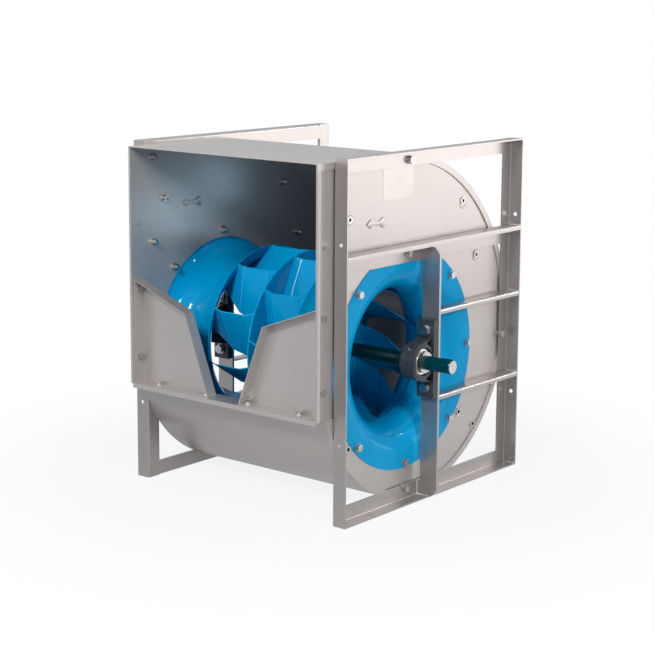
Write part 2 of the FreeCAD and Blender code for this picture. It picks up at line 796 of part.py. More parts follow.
def tangent_point(u, v, radius):
    """Where the line from a point outside a circle round the origin touches it, on its left side."""
    square = u * u + v * v
    along = radius * radius / square
    across = radius * root(square - radius * radius) / square
    return u * along - v * across, v * along + u * across


def make_bearing_housing():
    """A cast pillow block: a foot bolted to the strut, a dome with cored sides and a round bearing seat."""
    body = new_body("bearing_housing_right")
    half_length = s.bearing_base_length / 2
    half_width = s.bearing_dome_width / 2
    seat_y = s.bearing_centre_height
    foot_top = seat_y - s.bearing_base_thickness
    foot = new_sketch(body, "XY_Plane", -half_length)
    draw_box(foot, -s.bearing_base_width / 2, s.bearing_base_width / 2, foot_top, seat_y)
    pad(foot, s.bearing_base_length)
    dome = new_sketch(body, "YZ_Plane", -half_width)
    shoulder_y, shoulder_z = tangent_point(foot_top, s.bearing_shoulder, s.bearing_dome_radius)
    draw(dome, [
        (seat_y, -s.bearing_shoulder),
        (seat_y, s.bearing_shoulder),
        (foot_top, s.bearing_shoulder),
        (shoulder_y, shoulder_z),
        (-s.bearing_dome_radius, 0),
        (shoulder_y, -shoulder_z),
        (foot_top, -s.bearing_shoulder),
    ], {3: (s.bearing_dome_radius, 1), 4: (s.bearing_dome_radius, 1)})
    pad(dome, s.bearing_dome_width)
    rim = new_sketch(body, "YZ_Plane", -half_width - s.bearing_rim)
    draw_circle(rim, 0, 0, s.bearing_rim_radius)
    pad(rim, s.bearing_dome_width + 2 * s.bearing_rim)
    core_y = s.bearing_rim_radius * 0.72
    for offset, backwards in ((half_width, False), (-half_width, True)):
        for side in (-1, 1):
            core = new_sketch(body, "YZ_Plane", offset)
            corners = [
                (foot_top, side * (s.bearing_shoulder - s.bearing_rim)),
                (core_y / 3, side * (s.bearing_dome_radius - s.bearing_rim)),
                (core_y, side * core_y),
                (foot_top, side * core_y),
            ]
            draw(core, corners)
            cut(core, s.bearing_pocket, backwards)
    seat = new_sketch(body, "XY_Plane")
    edge = half_width + 2 * s.bearing_rim
    lip_radius = third_side(s.insert_radius, s.insert_width / 2)
    draw(seat, [
        (-edge, 0),
        (edge, 0),
        (edge, lip_radius),
        (s.insert_width / 2, lip_radius),
        (-s.insert_width / 2, lip_radius),
        (-edge, lip_radius),
    ], {3: (s.insert_radius, 1)})
    spin(seat, "Groove")
    holes = new_sketch(body, "XZ_Plane", -foot_top)
    for side in (-1, 1):
        draw_circle(holes, 0, side * s.bearing_bolt_spacing / 2, s.bearing_bolt_radius + s.hole_clearance)
    cut(holes, s.bearing_base_thickness)
    place(keep(body), x=bearing_half_span, y=axis_y, z=axis_z)
    mirrored_piece(body, "bearing_housing_left")


def make_grease_nipple():
    """The nipple in a pillow block's upper front shoulder, square to the dome."""
    body = new_body("grease_nipple_right")
    base = s.bearing_dome_radius
    for start, length, radius in (
        (base, s.nipple_length / 3, s.nipple_radius),
        (base + s.nipple_length / 3, s.nipple_length / 3, s.nipple_radius / 2),
        (base + s.nipple_length * 2 / 3, s.nipple_length / 3, s.nipple_radius * 0.75),
    ):
        step = new_sketch(body, "XY_Plane", start)
        draw_circle(step, 0, 0, radius)
        pad(step, length)
    place(keep(body), x=bearing_half_span, y=axis_y, z=axis_z, turn=45)
    mirrored_piece(body, "grease_nipple_left")


def make_ring(name, start, end, bore, radius):
    """A plain ring about the shaft, measured from a bearing's centre."""
    body = new_body(name)
    profile = new_sketch(body, "XY_Plane")
    draw_box(profile, start, end, bore, radius)
    spin(profile)
    place(keep(body), x=bearing_half_span, y=axis_y, z=axis_z)
    return body


def make_bearing_insert():
    """A sealed ball bearing insert, its inner ring locked to the shaft by a collar with a screw."""
    half_width = s.insert_width / 2
    lip_radius = third_side(s.insert_radius, half_width)
    outer = new_body("bearing_outer_ring_right")
    profile = new_sketch(outer, "XY_Plane")
    draw(profile, [
        (half_width, s.insert_race_radius),
        (half_width, lip_radius),
        (-half_width, lip_radius),
        (-half_width, s.insert_race_radius),
    ], {1: (s.insert_radius, 1)})
    spin(profile)
    place(keep(outer), x=bearing_half_span, y=axis_y, z=axis_z)
    mirrored_piece(outer, "bearing_outer_ring_left")
    seals = new_body("bearing_seals_right")
    for start in (half_width - s.seal_sheet, -half_width):
        ring = new_sketch(seals, "YZ_Plane", start)
        draw_circle(ring, 0, 0, s.insert_race_radius)
        draw_circle(ring, 0, 0, s.inner_ring_radius + s.running_clearance)
        pad(ring, s.seal_sheet)
    place(keep(seals), x=bearing_half_span, y=axis_y, z=axis_z)
    mirrored_piece(seals, "bearing_seals_left")
    bore = s.shaft_radius + s.fit_clearance
    collar_start = s.inner_ring_outside - s.collar_length
    inner = make_ring("bearing_inner_ring_right", -s.inner_ring_inside, collar_start, bore, s.inner_ring_radius)
    mirrored_piece(inner, "bearing_inner_ring_left")
    collar = make_ring("locking_collar_right", collar_start, s.inner_ring_outside, bore, s.collar_radius)
    screw_x = s.inner_ring_outside - s.collar_length / 2
    drill = new_sketch(collar, "XY_Plane", s.collar_radius)
    draw_circle(drill, screw_x, 0, s.collar_screw_radius + s.fit_clearance)
    cut(drill, s.collar_radius - s.shaft_radius)
    mirrored_piece(collar, "locking_collar_left")
    screw = new_body("collar_screw_right")
    shank = new_sketch(screw, "XY_Plane", bore)
    draw_circle(shank, screw_x, 0, s.collar_screw_radius)
    pad(shank, s.collar_length / 2)
    place(keep(screw), x=bearing_half_span, y=axis_y, z=axis_z)
    mirrored_piece(screw, "collar_screw_left")


def draw_keyway(sketch, start, end):
    """A slot along the shaft with one round end, open past the other."""
    half_width = s.keyway_width / 2
    draw(sketch, [
        (start + half_width, -half_width),
        (end, -half_width),
        (end, half_width),
        (start + half_width, half_width),
        (start, 0),
    ], {3: (half_width, 1), 4: (half_width, 1)})


def make_shaft():
    """The fan shaft: a groove sets off its drive end, and keyways serve the pulley and the hub."""
    body = new_body("shaft")
    profile = new_sketch(body, "XY_Plane")
    drive_start = shaft_drive_end - s.shaft_chamfer - s.drive_end_length
    groove_radius = s.shaft_radius - s.end_groove_depth
    draw(profile, [
        (-shaft_blind_end, 0),
        (shaft_drive_end, 0),
        (shaft_drive_end, s.shaft_radius - s.shaft_chamfer),
        (shaft_drive_end - s.shaft_chamfer, s.shaft_radius),
        (drive_start, s.shaft_radius),
        (drive_start, groove_radius),
        (drive_start - s.end_groove, groove_radius),
        (drive_start - s.end_groove, s.shaft_radius),
        (s.shaft_chamfer - shaft_blind_end, s.shaft_radius),
        (-shaft_blind_end, s.shaft_radius - s.shaft_chamfer),
    ])
    spin(profile)
    keyway = new_sketch(body, "XY_Plane", s.shaft_radius)
    draw_keyway(keyway, shaft_drive_end - s.keyway_length, shaft_drive_end)
    cut(keyway, s.keyway_depth)
    hub_keyway = new_sketch(body, "XY_Plane", s.shaft_radius)
    draw_keyway(hub_keyway, -s.hub_key_length / 2, s.hub_key_length / 2)
    cut(hub_keyway, s.keyway_depth)
    place(keep(body), y=axis_y, z=axis_z)


def make_hub():
    """The hub on the shaft, with its key and the flange that the centre disc is bolted to."""
    body = new_body("hub")
    profile = new_sketch(body, "XY_Plane")
    bore = s.shaft_radius + s.fit_clearance
    half_length = s.hub_length / 2
    flange_face = hub_start + s.hub_flange
    draw(profile, [
        (-half_length, bore),
        (half_length, bore),
        (half_length, s.hub_radius - s.hub_taper),
        (flange_face, s.hub_radius),
        (flange_face, s.hub_flange_radius),
        (hub_start, s.hub_flange_radius),
        (hub_start, s.hub_radius),
        (-half_length, s.hub_radius - s.hub_taper),
    ])
    spin(profile)
    holes = new_sketch(body, "YZ_Plane", flange_face)
    for y, z in ring_places(int(s.hub_bolts.value), s.hub_bolt_circle):
        draw_circle(holes, y, z, s.hub_bolt_radius + s.hole_clearance)
    cut(holes, s.hub_flange)
    key_floor = s.shaft_radius - s.keyway_depth
    slot = new_sketch(body, "XY_Plane", key_floor + s.key_height + s.fit_clearance)
    slot_half = s.keyway_width / 2 + s.fit_clearance
    draw_box(slot, -half_length, half_length, -slot_half, slot_half)
    cut(slot, s.key_height)
    place(keep(body), y=axis_y, z=axis_z)
    key = new_body("hub_key")
    block = new_sketch(key, "XY_Plane", key_floor)
    draw_keyway(block, -s.hub_key_length / 2, s.hub_key_length / 2)
    pad(block, s.key_height)
    place(keep(key), y=axis_y, z=axis_z)


def make_centre_disc():
    """The plate between the two halves of the impeller."""
    body = new_body("centre_disc")
    disc = new_sketch(body, "YZ_Plane", -hub_start)
    draw_circle(disc, 0, 0, s.impeller_radius)
    draw_circle(disc, 0, 0, s.hub_radius + s.hole_clearance)
    for y, z in ring_places(int(s.hub_bolts.value), s.hub_bolt_circle):
        draw_circle(disc, y, z, s.hub_bolt_radius + s.hole_clearance)
    pad(disc, s.disc_sheet)
    place(keep(body), y=axis_y, z=axis_z)


# Shroud curve: an arc that leaves the eye along the shaft and ends at the rim
shroud_run = s.shroud_eye_half - s.impeller_rim_half
shroud_rise = s.impeller_radius - s.shroud_eye_radius
shroud_arc = (shroud_run * shroud_run + shroud_rise * shroud_rise) / (2 * shroud_rise)


def make_shroud():
    """The curved ring that closes a half of the impeller on its inlet side."""
    body = new_body("shroud_right")
    profile = new_sketch(body, "XY_Plane")
    arc_centre = s.shroud_eye_radius + shroud_arc
    outer_arc = shroud_arc - s.shroud_sheet
    rim_drop = arc_centre - s.impeller_radius
    outer_rim_x = s.shroud_eye_half - third_side(outer_arc, rim_drop)
    draw(profile, [
        (s.impeller_rim_half, s.impeller_radius),
        (s.shroud_eye_half, s.shroud_eye_radius),
        (s.shroud_eye_half, s.shroud_eye_radius + s.shroud_sheet),
        (outer_rim_x, s.impeller_radius),
    ], {0: (shroud_arc, 1), 2: (outer_arc, -1)})
    spin(profile)
    place(keep(body), y=axis_y, z=axis_z)
    mirrored_piece(body, "shroud_left")


def make_blades(name, side, start_angle):
    """Backward-inclined blades, each creased twice along its chord and trimmed to disc and shroud."""
    body = new_body(name)
    tip_z = third_side(s.impeller_radius, s.blade_offset)
    crown = -(s.blade_offset + s.blade_crown)
    outer_crease = s.impeller_rim_half - s.blade_outer_panel
    far_x = s.shroud_eye_half - s.blade_eye_gap
    outer_slope = s.blade_crown / s.blade_outer_panel
    far_y = crown + (far_x - outer_crease) * outer_slope
    section = new_sketch(body, "XY_Plane", tip_z + s.blade_crown)
    middle_line = [(hub_start, -s.blade_offset), (s.blade_inner_panel, crown), (outer_crease, crown), (far_x, far_y)]
    upper = [(side * x, y + s.blade_sheet) for x, y in middle_line[::-1]]
    lower = [(side * x, y) for x, y in middle_line]
    draw(section, lower + upper)
    pad(section, s.blade_chord_at_disc + 2 * s.blade_crown, backwards=True)
    edge = new_sketch(body, "XZ_Plane", s.blade_offset + 3 * s.blade_crown)
    bottom = tip_z - 2 * s.blade_chord_at_disc
    draw(edge, [(side * x, z) for x, z in (
        (as_size(0), bottom),
        (far_x + 1, bottom),
        (far_x + 1, tip_z - s.blade_chord_at_shroud + s.blade_crown),
        (s.shroud_eye_half - shroud_run / 2, tip_z - s.blade_chord_at_shroud),
        (outer_crease, tip_z - s.blade_chord_at_crease),
        (as_size(0), tip_z - s.blade_chord_at_disc),
    )])
    cut(edge, far_x)
    trim = new_sketch(body, "XY_Plane")
    beyond = s.impeller_radius + shroud_rise
    trim_corners = [
        (hub_start, s.impeller_radius),
        (s.impeller_rim_half, s.impeller_radius),
        (s.shroud_eye_half, s.shroud_eye_radius),
        (s.shroud_eye_half, beyond),
        (hub_start, beyond),
    ]
    draw(trim, [(side * x, y) for x, y in trim_corners], {1: (shroud_arc, side)})
    repeat_round(body, spin(trim, "Groove"), s.blade_count)
    place(keep(body), y=axis_y, z=axis_z, turn=start_angle)


def make_impeller():
    make_hub()
    make_centre_disc()
    make_shroud()
    half_pitch = 180 / s.blade_count
    make_blades("blades_right", 1, s.blade_start_angle)
    make_blades("blades_left", -1, s.blade_start_angle - half_pitch)


def make_hex_bolts(name, places, seat_x, head_radius, head_height, shank_radius, shank_length, nut_seat=None):
    """Hexagon bolts along the shaft's direction, their flanged heads outwards, with flange nuts at a nut seat."""
    body = new_body(name)
    flanges = new_sketch(body, "YZ_Plane", seat_x)
    heads = new_sketch(body, "YZ_Plane", seat_x)
    shanks = new_sketch(body, "YZ_Plane", seat_x)
    for y, z in places:
        draw_circle(flanges, y, z, s.bolt_flange_radius)
        draw_hexagon(heads, y, z, head_radius)
        draw_circle(shanks, y, z, shank_radius)
    pad(flanges, s.bolt_flange)
    pad(heads, s.bolt_flange + head_height)
    pad(shanks, shank_length, backwards=True)
    if nut_seat:
        nut_flanges = new_sketch(body, "YZ_Plane", nut_seat)
        nuts = new_sketch(body, "YZ_Plane", nut_seat)
        for y, z in places:
            draw_circle(nut_flanges, y, z, s.bolt_flange_radius)
            draw_circle(nut_flanges, y, z, shank_radius + s.fit_clearance)
            draw_hexagon(nuts, y, z, head_radius)
            draw_circle(nuts, y, z, shank_radius + s.fit_clearance)
        pad(nut_flanges, s.bolt_flange, backwards=True)
        pad(nuts, s.bolt_flange + s.nozzle_nut_height, backwards=True)
    place(keep(body), y=axis_y, z=axis_z)
    return body


def make_fasteners():
    flange_face = plate_outer + s.nozzle_sheet
    bolts = make_hex_bolts("nozzle_bolts_right", short_bolt_places, flange_face, s.nozzle_bolt_head,
                           s.nozzle_bolt_head_height, s.nozzle_bolt_radius,
                           flange_face - s.duct_half_width + s.bolt_end, s.duct_half_width)
    mirrored_piece(bolts, "nozzle_bolts_left")
    bolts = make_hex_bolts("nozzle_frame_bolts_right", long_bolt_places, leg_face, s.nozzle_bolt_head,
                           s.nozzle_bolt_head_height, s.nozzle_bolt_radius,
                           leg_face - s.duct_half_width + s.bolt_end, s.duct_half_width)
    mirrored_piece(bolts, "nozzle_frame_bolts_left")
    bolts = make_hex_bolts("frame_bolts_right", frame_bolt_places + [top_bolt_place], leg_face, s.frame_bolt_head,
                           s.frame_bolt_head_height, s.frame_bolt_radius,
                           leg_face - s.duct_half_width + s.bolt_end)
    mirrored_piece(bolts, "frame_bolts_left")
    hub_face = hub_start + s.hub_flange
    make_hex_bolts("hub_bolts", ring_places(int(s.hub_bolts.value), s.hub_bolt_circle), hub_face,
                   s.hub_bolt_head, s.hub_bolt_head_height, s.hub_bolt_radius,
                   s.hub_flange + s.disc_sheet + s.bolt_end, -hub_start)
    nuts = new_body("rivet_nuts_right")
    flanges = new_sketch(nuts, "YZ_Plane", plate_outer)
    barrels = new_sketch(nuts, "YZ_Plane", plate_outer)
    bulges = new_sketch(nuts, "YZ_Plane", s.duct_half_width)
    rings = ((flanges, s.rivet_nut_flange), (barrels, s.rivet_nut_radius), (bulges, s.rivet_nut_bulge_radius))
    for y, z in nut_places:
        for ring, radius in rings:
            draw_circle(ring, y, z, radius)
            draw_circle(ring, y, z, s.frame_bolt_radius + s.fit_clearance)
    pad(flanges, s.seam_sheet)
    pad(barrels, s.rivet_nut_length, backwards=True)
    pad(bulges, s.rivet_nut_bulge, backwards=True)
    rivet_z = s.plate_rivet_height - s.shaft_height
    for offset, length, radius, backwards in (
        (plate_outer, s.plate_rivet_head, s.plate_rivet_radius, False),
        (plate_outer, s.plate_sheet, s.cutoff_bolt_radius, True),
        (s.duct_half_width, s.plate_rivet_head, s.plate_rivet_radius, True),
    ):
        rivet = new_sketch(nuts, "YZ_Plane", offset)
        draw_circle(rivet, cutoff_bolt_y, rivet_z, radius)
        pad(rivet, length, backwards)
    place(keep(nuts), y=axis_y, z=axis_z)
    mirrored_piece(nuts, "rivet_nuts_left")


def make_cutoff_bolts():
    """Bolts that hold a cut-off plate: two through the side plate and two through the outlet's floor."""
    body = new_body("cutoff_bolts_right")
    side_face = s.duct_half_width - s.cutoff_sheet
    side_heads = new_sketch(body, "YZ_Plane", side_face)
    side_shanks = new_sketch(body, "YZ_Plane", side_face)
    side_nuts = new_sketch(body, "YZ_Plane", plate_outer)
    for y, z in cutoff_side_places:
        draw_hexagon(side_heads, y, z, s.cutoff_bolt_head)
        draw_circle(side_shanks, y, z, s.cutoff_bolt_radius)
        draw_hexagon(side_nuts, y, z, s.cutoff_bolt_head)
    pad(side_heads, s.cutoff_bolt_head_height, backwards=True)
    pad(side_shanks, s.cutoff_sheet + s.plate_sheet)
    pad(side_nuts, s.seam_sheet)
    foot_face = outlet_bottom + s.cutoff_sheet
    foot_heads = new_sketch(body, "XY_Plane", foot_face)
    foot_shanks = new_sketch(body, "XY_Plane", foot_face)
    foot_nuts = new_sketch(body, "XY_Plane", wrap_end_z)
    for x, y in cutoff_foot_places:
        draw_hexagon(foot_heads, x, y, s.cutoff_bolt_head)
        draw_circle(foot_shanks, x, y, s.cutoff_bolt_radius)
        draw_hexagon(foot_nuts, x, y, s.cutoff_bolt_head)
    pad(foot_heads, s.cutoff_bolt_head_height)
    pad(foot_shanks, s.cutoff_sheet + s.wrap_sheet, backwards=True)
    pad(foot_nuts, s.cutoff_bolt_head_height, backwards=True)
    place(keep(body), y=axis_y, z=axis_z)
    mirrored_piece(body, "cutoff_bolts_left")


def make_bearing_bolts():
    """The bolts that hold a pillow block to its strut, with nuts behind."""
    body = new_body("bearing_bolts_right")
    foot_top = axis_y + s.bearing_centre_height - s.bearing_base_thickness
    places = [(bearing_half_span, axis_z + side * s.bearing_bolt_spacing / 2) for side in (-1, 1)]
    washers = new_sketch(body, "XZ_Plane", -foot_top)
    heads = new_sketch(body, "XZ_Plane", s.bearing_washer - foot_top)
    shanks = new_sketch(body, "XZ_Plane", -foot_top)
    nuts = new_sketch(body, "XZ_Plane", -strut_back)
    for x, z in places:
        draw_circle(washers, x, z, s.bearing_washer_radius)
        draw_hexagon(heads, x, z, s.bearing_bolt_head)
        draw_circle(shanks, x, z, s.bearing_bolt_radius)
        draw_hexagon(nuts, x, z, s.bearing_bolt_head)
    pad(washers, s.bearing_washer)
    pad(heads, s.bearing_bolt_head_height)
    pad(shanks, s.bearing_base_thickness + s.strut_sheet + s.bearing_bolt_head_height + s.angle_sheet,
        backwards=True)
    pad(nuts, s.bearing_bolt_head_height, backwards=True)
    place(keep(body))
    mirrored_piece(body, "bearing_bolts_left")


make_scroll_wrap()
make_side_plate()
make_outlet_lip()
make_cutoff_plate()
make_inlet_nozzle()
make_frame()
make_bearing_housing()
make_grease_nipple()
make_bearing_insert()
make_shaft()
make_impeller()
make_fasteners()
make_cutoff_bolts()
make_bearing_bolts()
doc.recompute()

faults = [thing.Name for thing in doc.Objects if {"Invalid", "Error"} & set(thing.State)]
faults += [piece.Name for piece in pieces if piece.Shape.isNull() or not piece.Shape.isValid()]
if faults:
    raise RuntimeError("failed objects: " + ", ".join(faults))

os.makedirs("parts", exist_ok=True)
for piece in pieces:
    piece.Shape.exportStep(f"parts/{piece.Label}.step")
print(len(pieces), "pieces written")
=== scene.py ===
import json
import math

import bpy
from mathutils import Matrix, Vector


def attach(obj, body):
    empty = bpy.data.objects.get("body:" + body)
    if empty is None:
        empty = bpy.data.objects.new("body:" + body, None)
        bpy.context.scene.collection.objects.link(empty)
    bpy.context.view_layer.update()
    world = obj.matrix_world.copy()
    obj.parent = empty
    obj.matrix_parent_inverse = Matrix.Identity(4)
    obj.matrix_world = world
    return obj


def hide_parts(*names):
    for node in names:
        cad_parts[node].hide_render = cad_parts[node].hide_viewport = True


# A double-inlet centrifugal fan: galvanized scroll casing in an angle frame, blue impeller and
# inlet nozzles, and a shaft in two pillow blocks. Lengths are in metres and turns in degrees.
# +X is the drive end, which "right" stands for, air leaves towards -Y, and +Z is up.

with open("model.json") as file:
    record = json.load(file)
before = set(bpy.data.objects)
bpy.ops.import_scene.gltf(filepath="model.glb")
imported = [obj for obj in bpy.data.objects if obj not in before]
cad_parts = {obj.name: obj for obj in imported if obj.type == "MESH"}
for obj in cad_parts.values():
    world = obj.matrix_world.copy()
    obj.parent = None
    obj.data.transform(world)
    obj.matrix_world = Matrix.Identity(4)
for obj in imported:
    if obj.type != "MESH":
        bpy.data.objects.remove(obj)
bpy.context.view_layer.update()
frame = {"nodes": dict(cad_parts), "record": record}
fan_nodes = frame["nodes"]
fan_record = frame["record"]
fan_bodies = fan_record["behaviour"]["bodies"]
rotor_spin = fan_record["behaviour"]["joints"][0]

MM = 0.001
SIDES = {"right": 1, "left": -1}
SHAFT_Y = rotor_spin["pos_m"][1]
SHAFT_Z = rotor_spin["pos_m"][2]

# Turns a shape that stands along Z until it lies along X
ALONG_X = (0, math.pi / 2, 0)


def body_of_node(name):
    """The moving body that a node belongs to."""
    return next(body for body, members in fan_bodies.items() if name in members)


# Shader helpers

def new_material(name):
    """A material with a Principled shader; returns the material, its node tree and the shader."""
    material = bpy.data.materials.new(name)
    material.use_nodes = True
    tree = material.node_tree
    shader = tree.nodes["Principled BSDF"]
    return material, tree, shader


def add_shader_node(tree, kind, place=(0, 0), **settings):
    """Adds a node at a place on the node sheet, with its settings."""
    node = tree.nodes.new(kind)
    node.location = place
    for key, value in settings.items():
        setattr(node, key, value)
    return node


def set_sockets(node, **values):
    """Sets a node's inputs by name, with _ for each space in the name."""
    for key, value in values.items():
        node.inputs[key.replace("_", " ")].default_value = value


def object_coordinates(tree):
    """The piece's own coordinates, in metres."""
    return add_shader_node(tree, "ShaderNodeTexCoord", (-1200, 0)).outputs["Object"]


def new_group(name, inputs, outputs):
    """A shader node group with named sockets: inputs are (name, kind, value), outputs (name, kind)."""
    group = bpy.data.node_groups.new(name, "ShaderNodeTree")
    for label, kind, value in inputs:
        socket = group.interface.new_socket(name=label, in_out="INPUT", socket_type=kind)
        if value is not None:
            socket.default_value = value
    for label, kind in outputs:
        group.interface.new_socket(name=label, in_out="OUTPUT", socket_type=kind)
    start = group.nodes.new("NodeGroupInput")
    end = group.nodes.new("NodeGroupOutput")
    start.location = (-900, 0)
    end.location = (700, 0)
    return group, start, end


def place_group(tree, group, **values):
    """Puts a node group in a material, with values of its own."""
    node = add_shader_node(tree, "ShaderNodeGroup", (-500, 0), node_tree=group)
    set_sockets(node, **values)
    return node


SURFACE_OUTPUTS = [("Color", "NodeSocketColor"), ("Roughness", "NodeSocketFloat"),
                   ("Height", "NodeSocketFloat")]
CRYSTAL_EDGE_WARP = 4 * MM
CRYSTAL_SHARE = 0.45
CLOUD_SHARE = 0.6


def make_spangle_group():
    """Zinc crystals: flat grains a few millimetres wide, each a little lighter or rougher."""
    group, start, end = new_group(
        "zinc_spangle",
        [("Vector", "NodeSocketVector", None), ("Grain", "NodeSocketFloat", 120.0),
         ("Light", "NodeSocketColor", (0.7, 0.7, 0.7, 1)),
         ("Dark", "NodeSocketColor", (0.5, 0.5, 0.5, 1)),
         ("Smooth", "NodeSocketFloat", 0.3), ("Rough", "NodeSocketFloat", 0.5)],
        SURFACE_OUTPUTS)
    warp = add_shader_node(group, "ShaderNodeTexNoise", (-700, -200))
    set_sockets(warp, Scale=90.0, Detail=3.0)
    bend = add_shader_node(group, "ShaderNodeVectorMath", (-500, -100), operation="MULTIPLY_ADD")
    bend.inputs[1].default_value = (CRYSTAL_EDGE_WARP, CRYSTAL_EDGE_WARP, CRYSTAL_EDGE_WARP)
    grains = add_shader_node(group, "ShaderNodeTexVoronoi", (-300, 0), feature="F1")
    cloud = add_shader_node(group, "ShaderNodeTexNoise", (-300, -300))
    set_sockets(cloud, Scale=7.0, Detail=4.0, Roughness=0.6)
    tone = add_shader_node(group, "ShaderNodeSeparateColor", (-100, 0))
    blend = add_shader_node(group, "ShaderNodeMath", (80, 0), operation="MULTIPLY_ADD")
    blend.inputs[1].default_value = CRYSTAL_SHARE
    scale_cloud = add_shader_node(group, "ShaderNodeMath", (-100, -300), operation="MULTIPLY")
    scale_cloud.inputs[1].default_value = CLOUD_SHARE
    colour = add_shader_node(group, "ShaderNodeMix", (300, 100), data_type="RGBA")
    rough = add_shader_node(group, "ShaderNodeMapRange", (300, -150))
    link = group.links.new
    link(start.outputs["Vector"], warp.inputs["Vector"])
    link(warp.outputs["Color"], bend.inputs[0])
    link(start.outputs["Vector"], bend.inputs[2])
    link(bend.outputs["Vector"], grains.inputs["Vector"])
    link(start.outputs["Grain"], grains.inputs["Scale"])
    link(start.outputs["Vector"], cloud.inputs["Vector"])
    link(grains.outputs["Color"], tone.inputs["Color"])
    link(cloud.outputs["Fac"], scale_cloud.inputs[0])
    link(tone.outputs["Red"], blend.inputs[0])
    link(scale_cloud.outputs["Value"], blend.inputs[2])
    link(blend.outputs["Value"], colour.inputs["Factor"])
    link(start.outputs["Dark"], colour.inputs["A"])
    link(start.outputs["Light"], colour.inputs["B"])
    link(blend.outputs["Value"], rough.inputs["Value"])
    link(start.outputs["Rough"], rough.inputs["To Min"])
    link(start.outputs["Smooth"], rough.inputs["To Max"])
    link(colour.outputs["Result"], end.inputs["Color"])
    link(rough.outputs["Result"], end.inputs["Roughness"])
    link(blend.outputs["Value"], end.inputs["Height"])
    return group


def make_wear_group():
    """Uneven sheen: broad clouds that shift a colour and its roughness a little, and a fine relief."""
    group, start, end = new_group(
        "surface_wear",
        [("Vector", "NodeSocketVector", None),
         ("Base", "NodeSocketColor", (0.5, 0.5, 0.5, 1)),
         ("Worn", "NodeSocketColor", (0.4, 0.4, 0.4, 1)), ("Scale", "NodeSocketFloat", 20.0),
         ("Smooth", "NodeSocketFloat", 0.2), ("Rough", "NodeSocketFloat", 0.4)],
        SURFACE_OUTPUTS)
    cloud = add_shader_node(group, "ShaderNodeTexNoise", (-500, 100))
    set_sockets(cloud, Detail=5.0, Roughness=0.65)
    fine = add_shader_node(group, "ShaderNodeTexNoise", (-500, -200))
    set_sockets(fine, Scale=900.0, Detail=2.0)
    spread = add_shader_node(group, "ShaderNodeMapRange", (-250, 100))
    set_sockets(spread, From_Min=0.35, From_Max=0.7)
    colour = add_shader_node(group, "ShaderNodeMix", (100, 150), data_type="RGBA")
    rough = add_shader_node(group, "ShaderNodeMapRange", (100, -100))
    link = group.links.new
    link(start.outputs["Vector"], cloud.inputs["Vector"])
    link(start.outputs["Scale"], cloud.inputs["Scale"])
    link(start.outputs["Vector"], fine.inputs["Vector"])
    link(cloud.outputs["Fac"], spread.inputs["Value"])
    link(spread.outputs["Result"], colour.inputs["Factor"])
    link(start.outputs["Base"], colour.inputs["A"])
    link(start.outputs["Worn"], colour.inputs["B"])
    link(spread.outputs["Result"], rough.inputs["Value"])
    link(start.outputs["Smooth"], rough.inputs["To Min"])
    link(start.outputs["Rough"], rough.inputs["To Max"])
    link(colour.outputs["Result"], end.inputs["Color"])
    link(rough.outputs["Result"], end.inputs["Roughness"])
    link(fine.outputs["Fac"], end.inputs["Height"])
    return group


spangle_group = make_spangle_group()
wear_group = make_wear_group()

CRYSTAL_RELIEF = 0.02 * MM
COAT_ROUGHNESS = 0.05


def finish_surface(tree, shader, effect, relief):
    """Wires a group's colour, roughness and relief into a shader."""
    bump = add_shader_node(tree, "ShaderNodeBump", (-250, -300))
    set_sockets(bump, Strength=1.0, Distance=relief)
    tree.links.new(object_coordinates(tree), effect.inputs["Vector"])
    tree.links.new(effect.outputs["Color"], shader.inputs["Base Color"])
    tree.links.new(effect.outputs["Roughness"], shader.inputs["Roughness"])
    tree.links.new(effect.outputs["Height"], bump.inputs["Height"])
    tree.links.new(bump.outputs["Normal"], shader.inputs["Normal"])


def zinc_material(name, light, dark, smooth, rough, grain, metallic):
    """Galvanized steel, with a given number of zinc crystals to the metre."""
    material, tree, shader = new_material(name)
    effect = place_group(tree, spangle_group, Grain=grain, Light=(*light, 1), Dark=(*dark, 1),
                         Smooth=smooth, Rough=rough)
    finish_surface(tree, shader, effect, CRYSTAL_RELIEF)
    set_sockets(shader, Metallic=metallic)
    return material


def worn_material(name, base, worn, smooth, rough, scale, metallic, relief,
                  coat=0.0, gloss=0.4, tint=(1, 1, 1)):
    """A plain finish that clouds from its base colour to its worn one."""
    material, tree, shader = new_material(name)
    effect = place_group(tree, wear_group, Base=(*base, 1), Worn=(*worn, 1), Scale=scale,
                         Smooth=smooth, Rough=rough)
    finish_surface(tree, shader, effect, relief)
    set_sockets(shader, Metallic=metallic, Coat_Weight=coat, Coat_Roughness=COAT_ROUGHNESS,
                Specular_IOR_Level=gloss, Specular_Tint=(*tint, 1))
    return material


# Finishes; each one clouds between two colours

FAN_BLUE = (0.0, 0.295, 0.575)
FAN_BLUE_WORN = (0.0, 0.28, 0.545)

plate_zinc = zinc_material(
    "bright_galvanized_sheet", light=(0.47, 0.437, 0.42), dark=(0.44, 0.41, 0.396),
    smooth=0.3, rough=0.37, grain=150, metallic=0.62)

frame_zinc = zinc_material(
    "dull_galvanized_angle", light=(0.42, 0.397, 0.385), dark=(0.395, 0.375, 0.365),
    smooth=0.27, rough=0.33, grain=260, metallic=0.86)

weld_zinc = worn_material(
    "zinc_coated_weld", base=(0.5, 0.5, 0.5), worn=(0.3, 0.3, 0.3),
    smooth=0.3, rough=0.5, scale=120, metallic=0.9, relief=0.1 * MM)

label_film = worn_material(
    "bare_label_film", base=(0.475, 0.442, 0.425), worn=(0.46, 0.43, 0.414),
    smooth=0.28, rough=0.33, scale=40, metallic=0.66, relief=0.01 * MM)

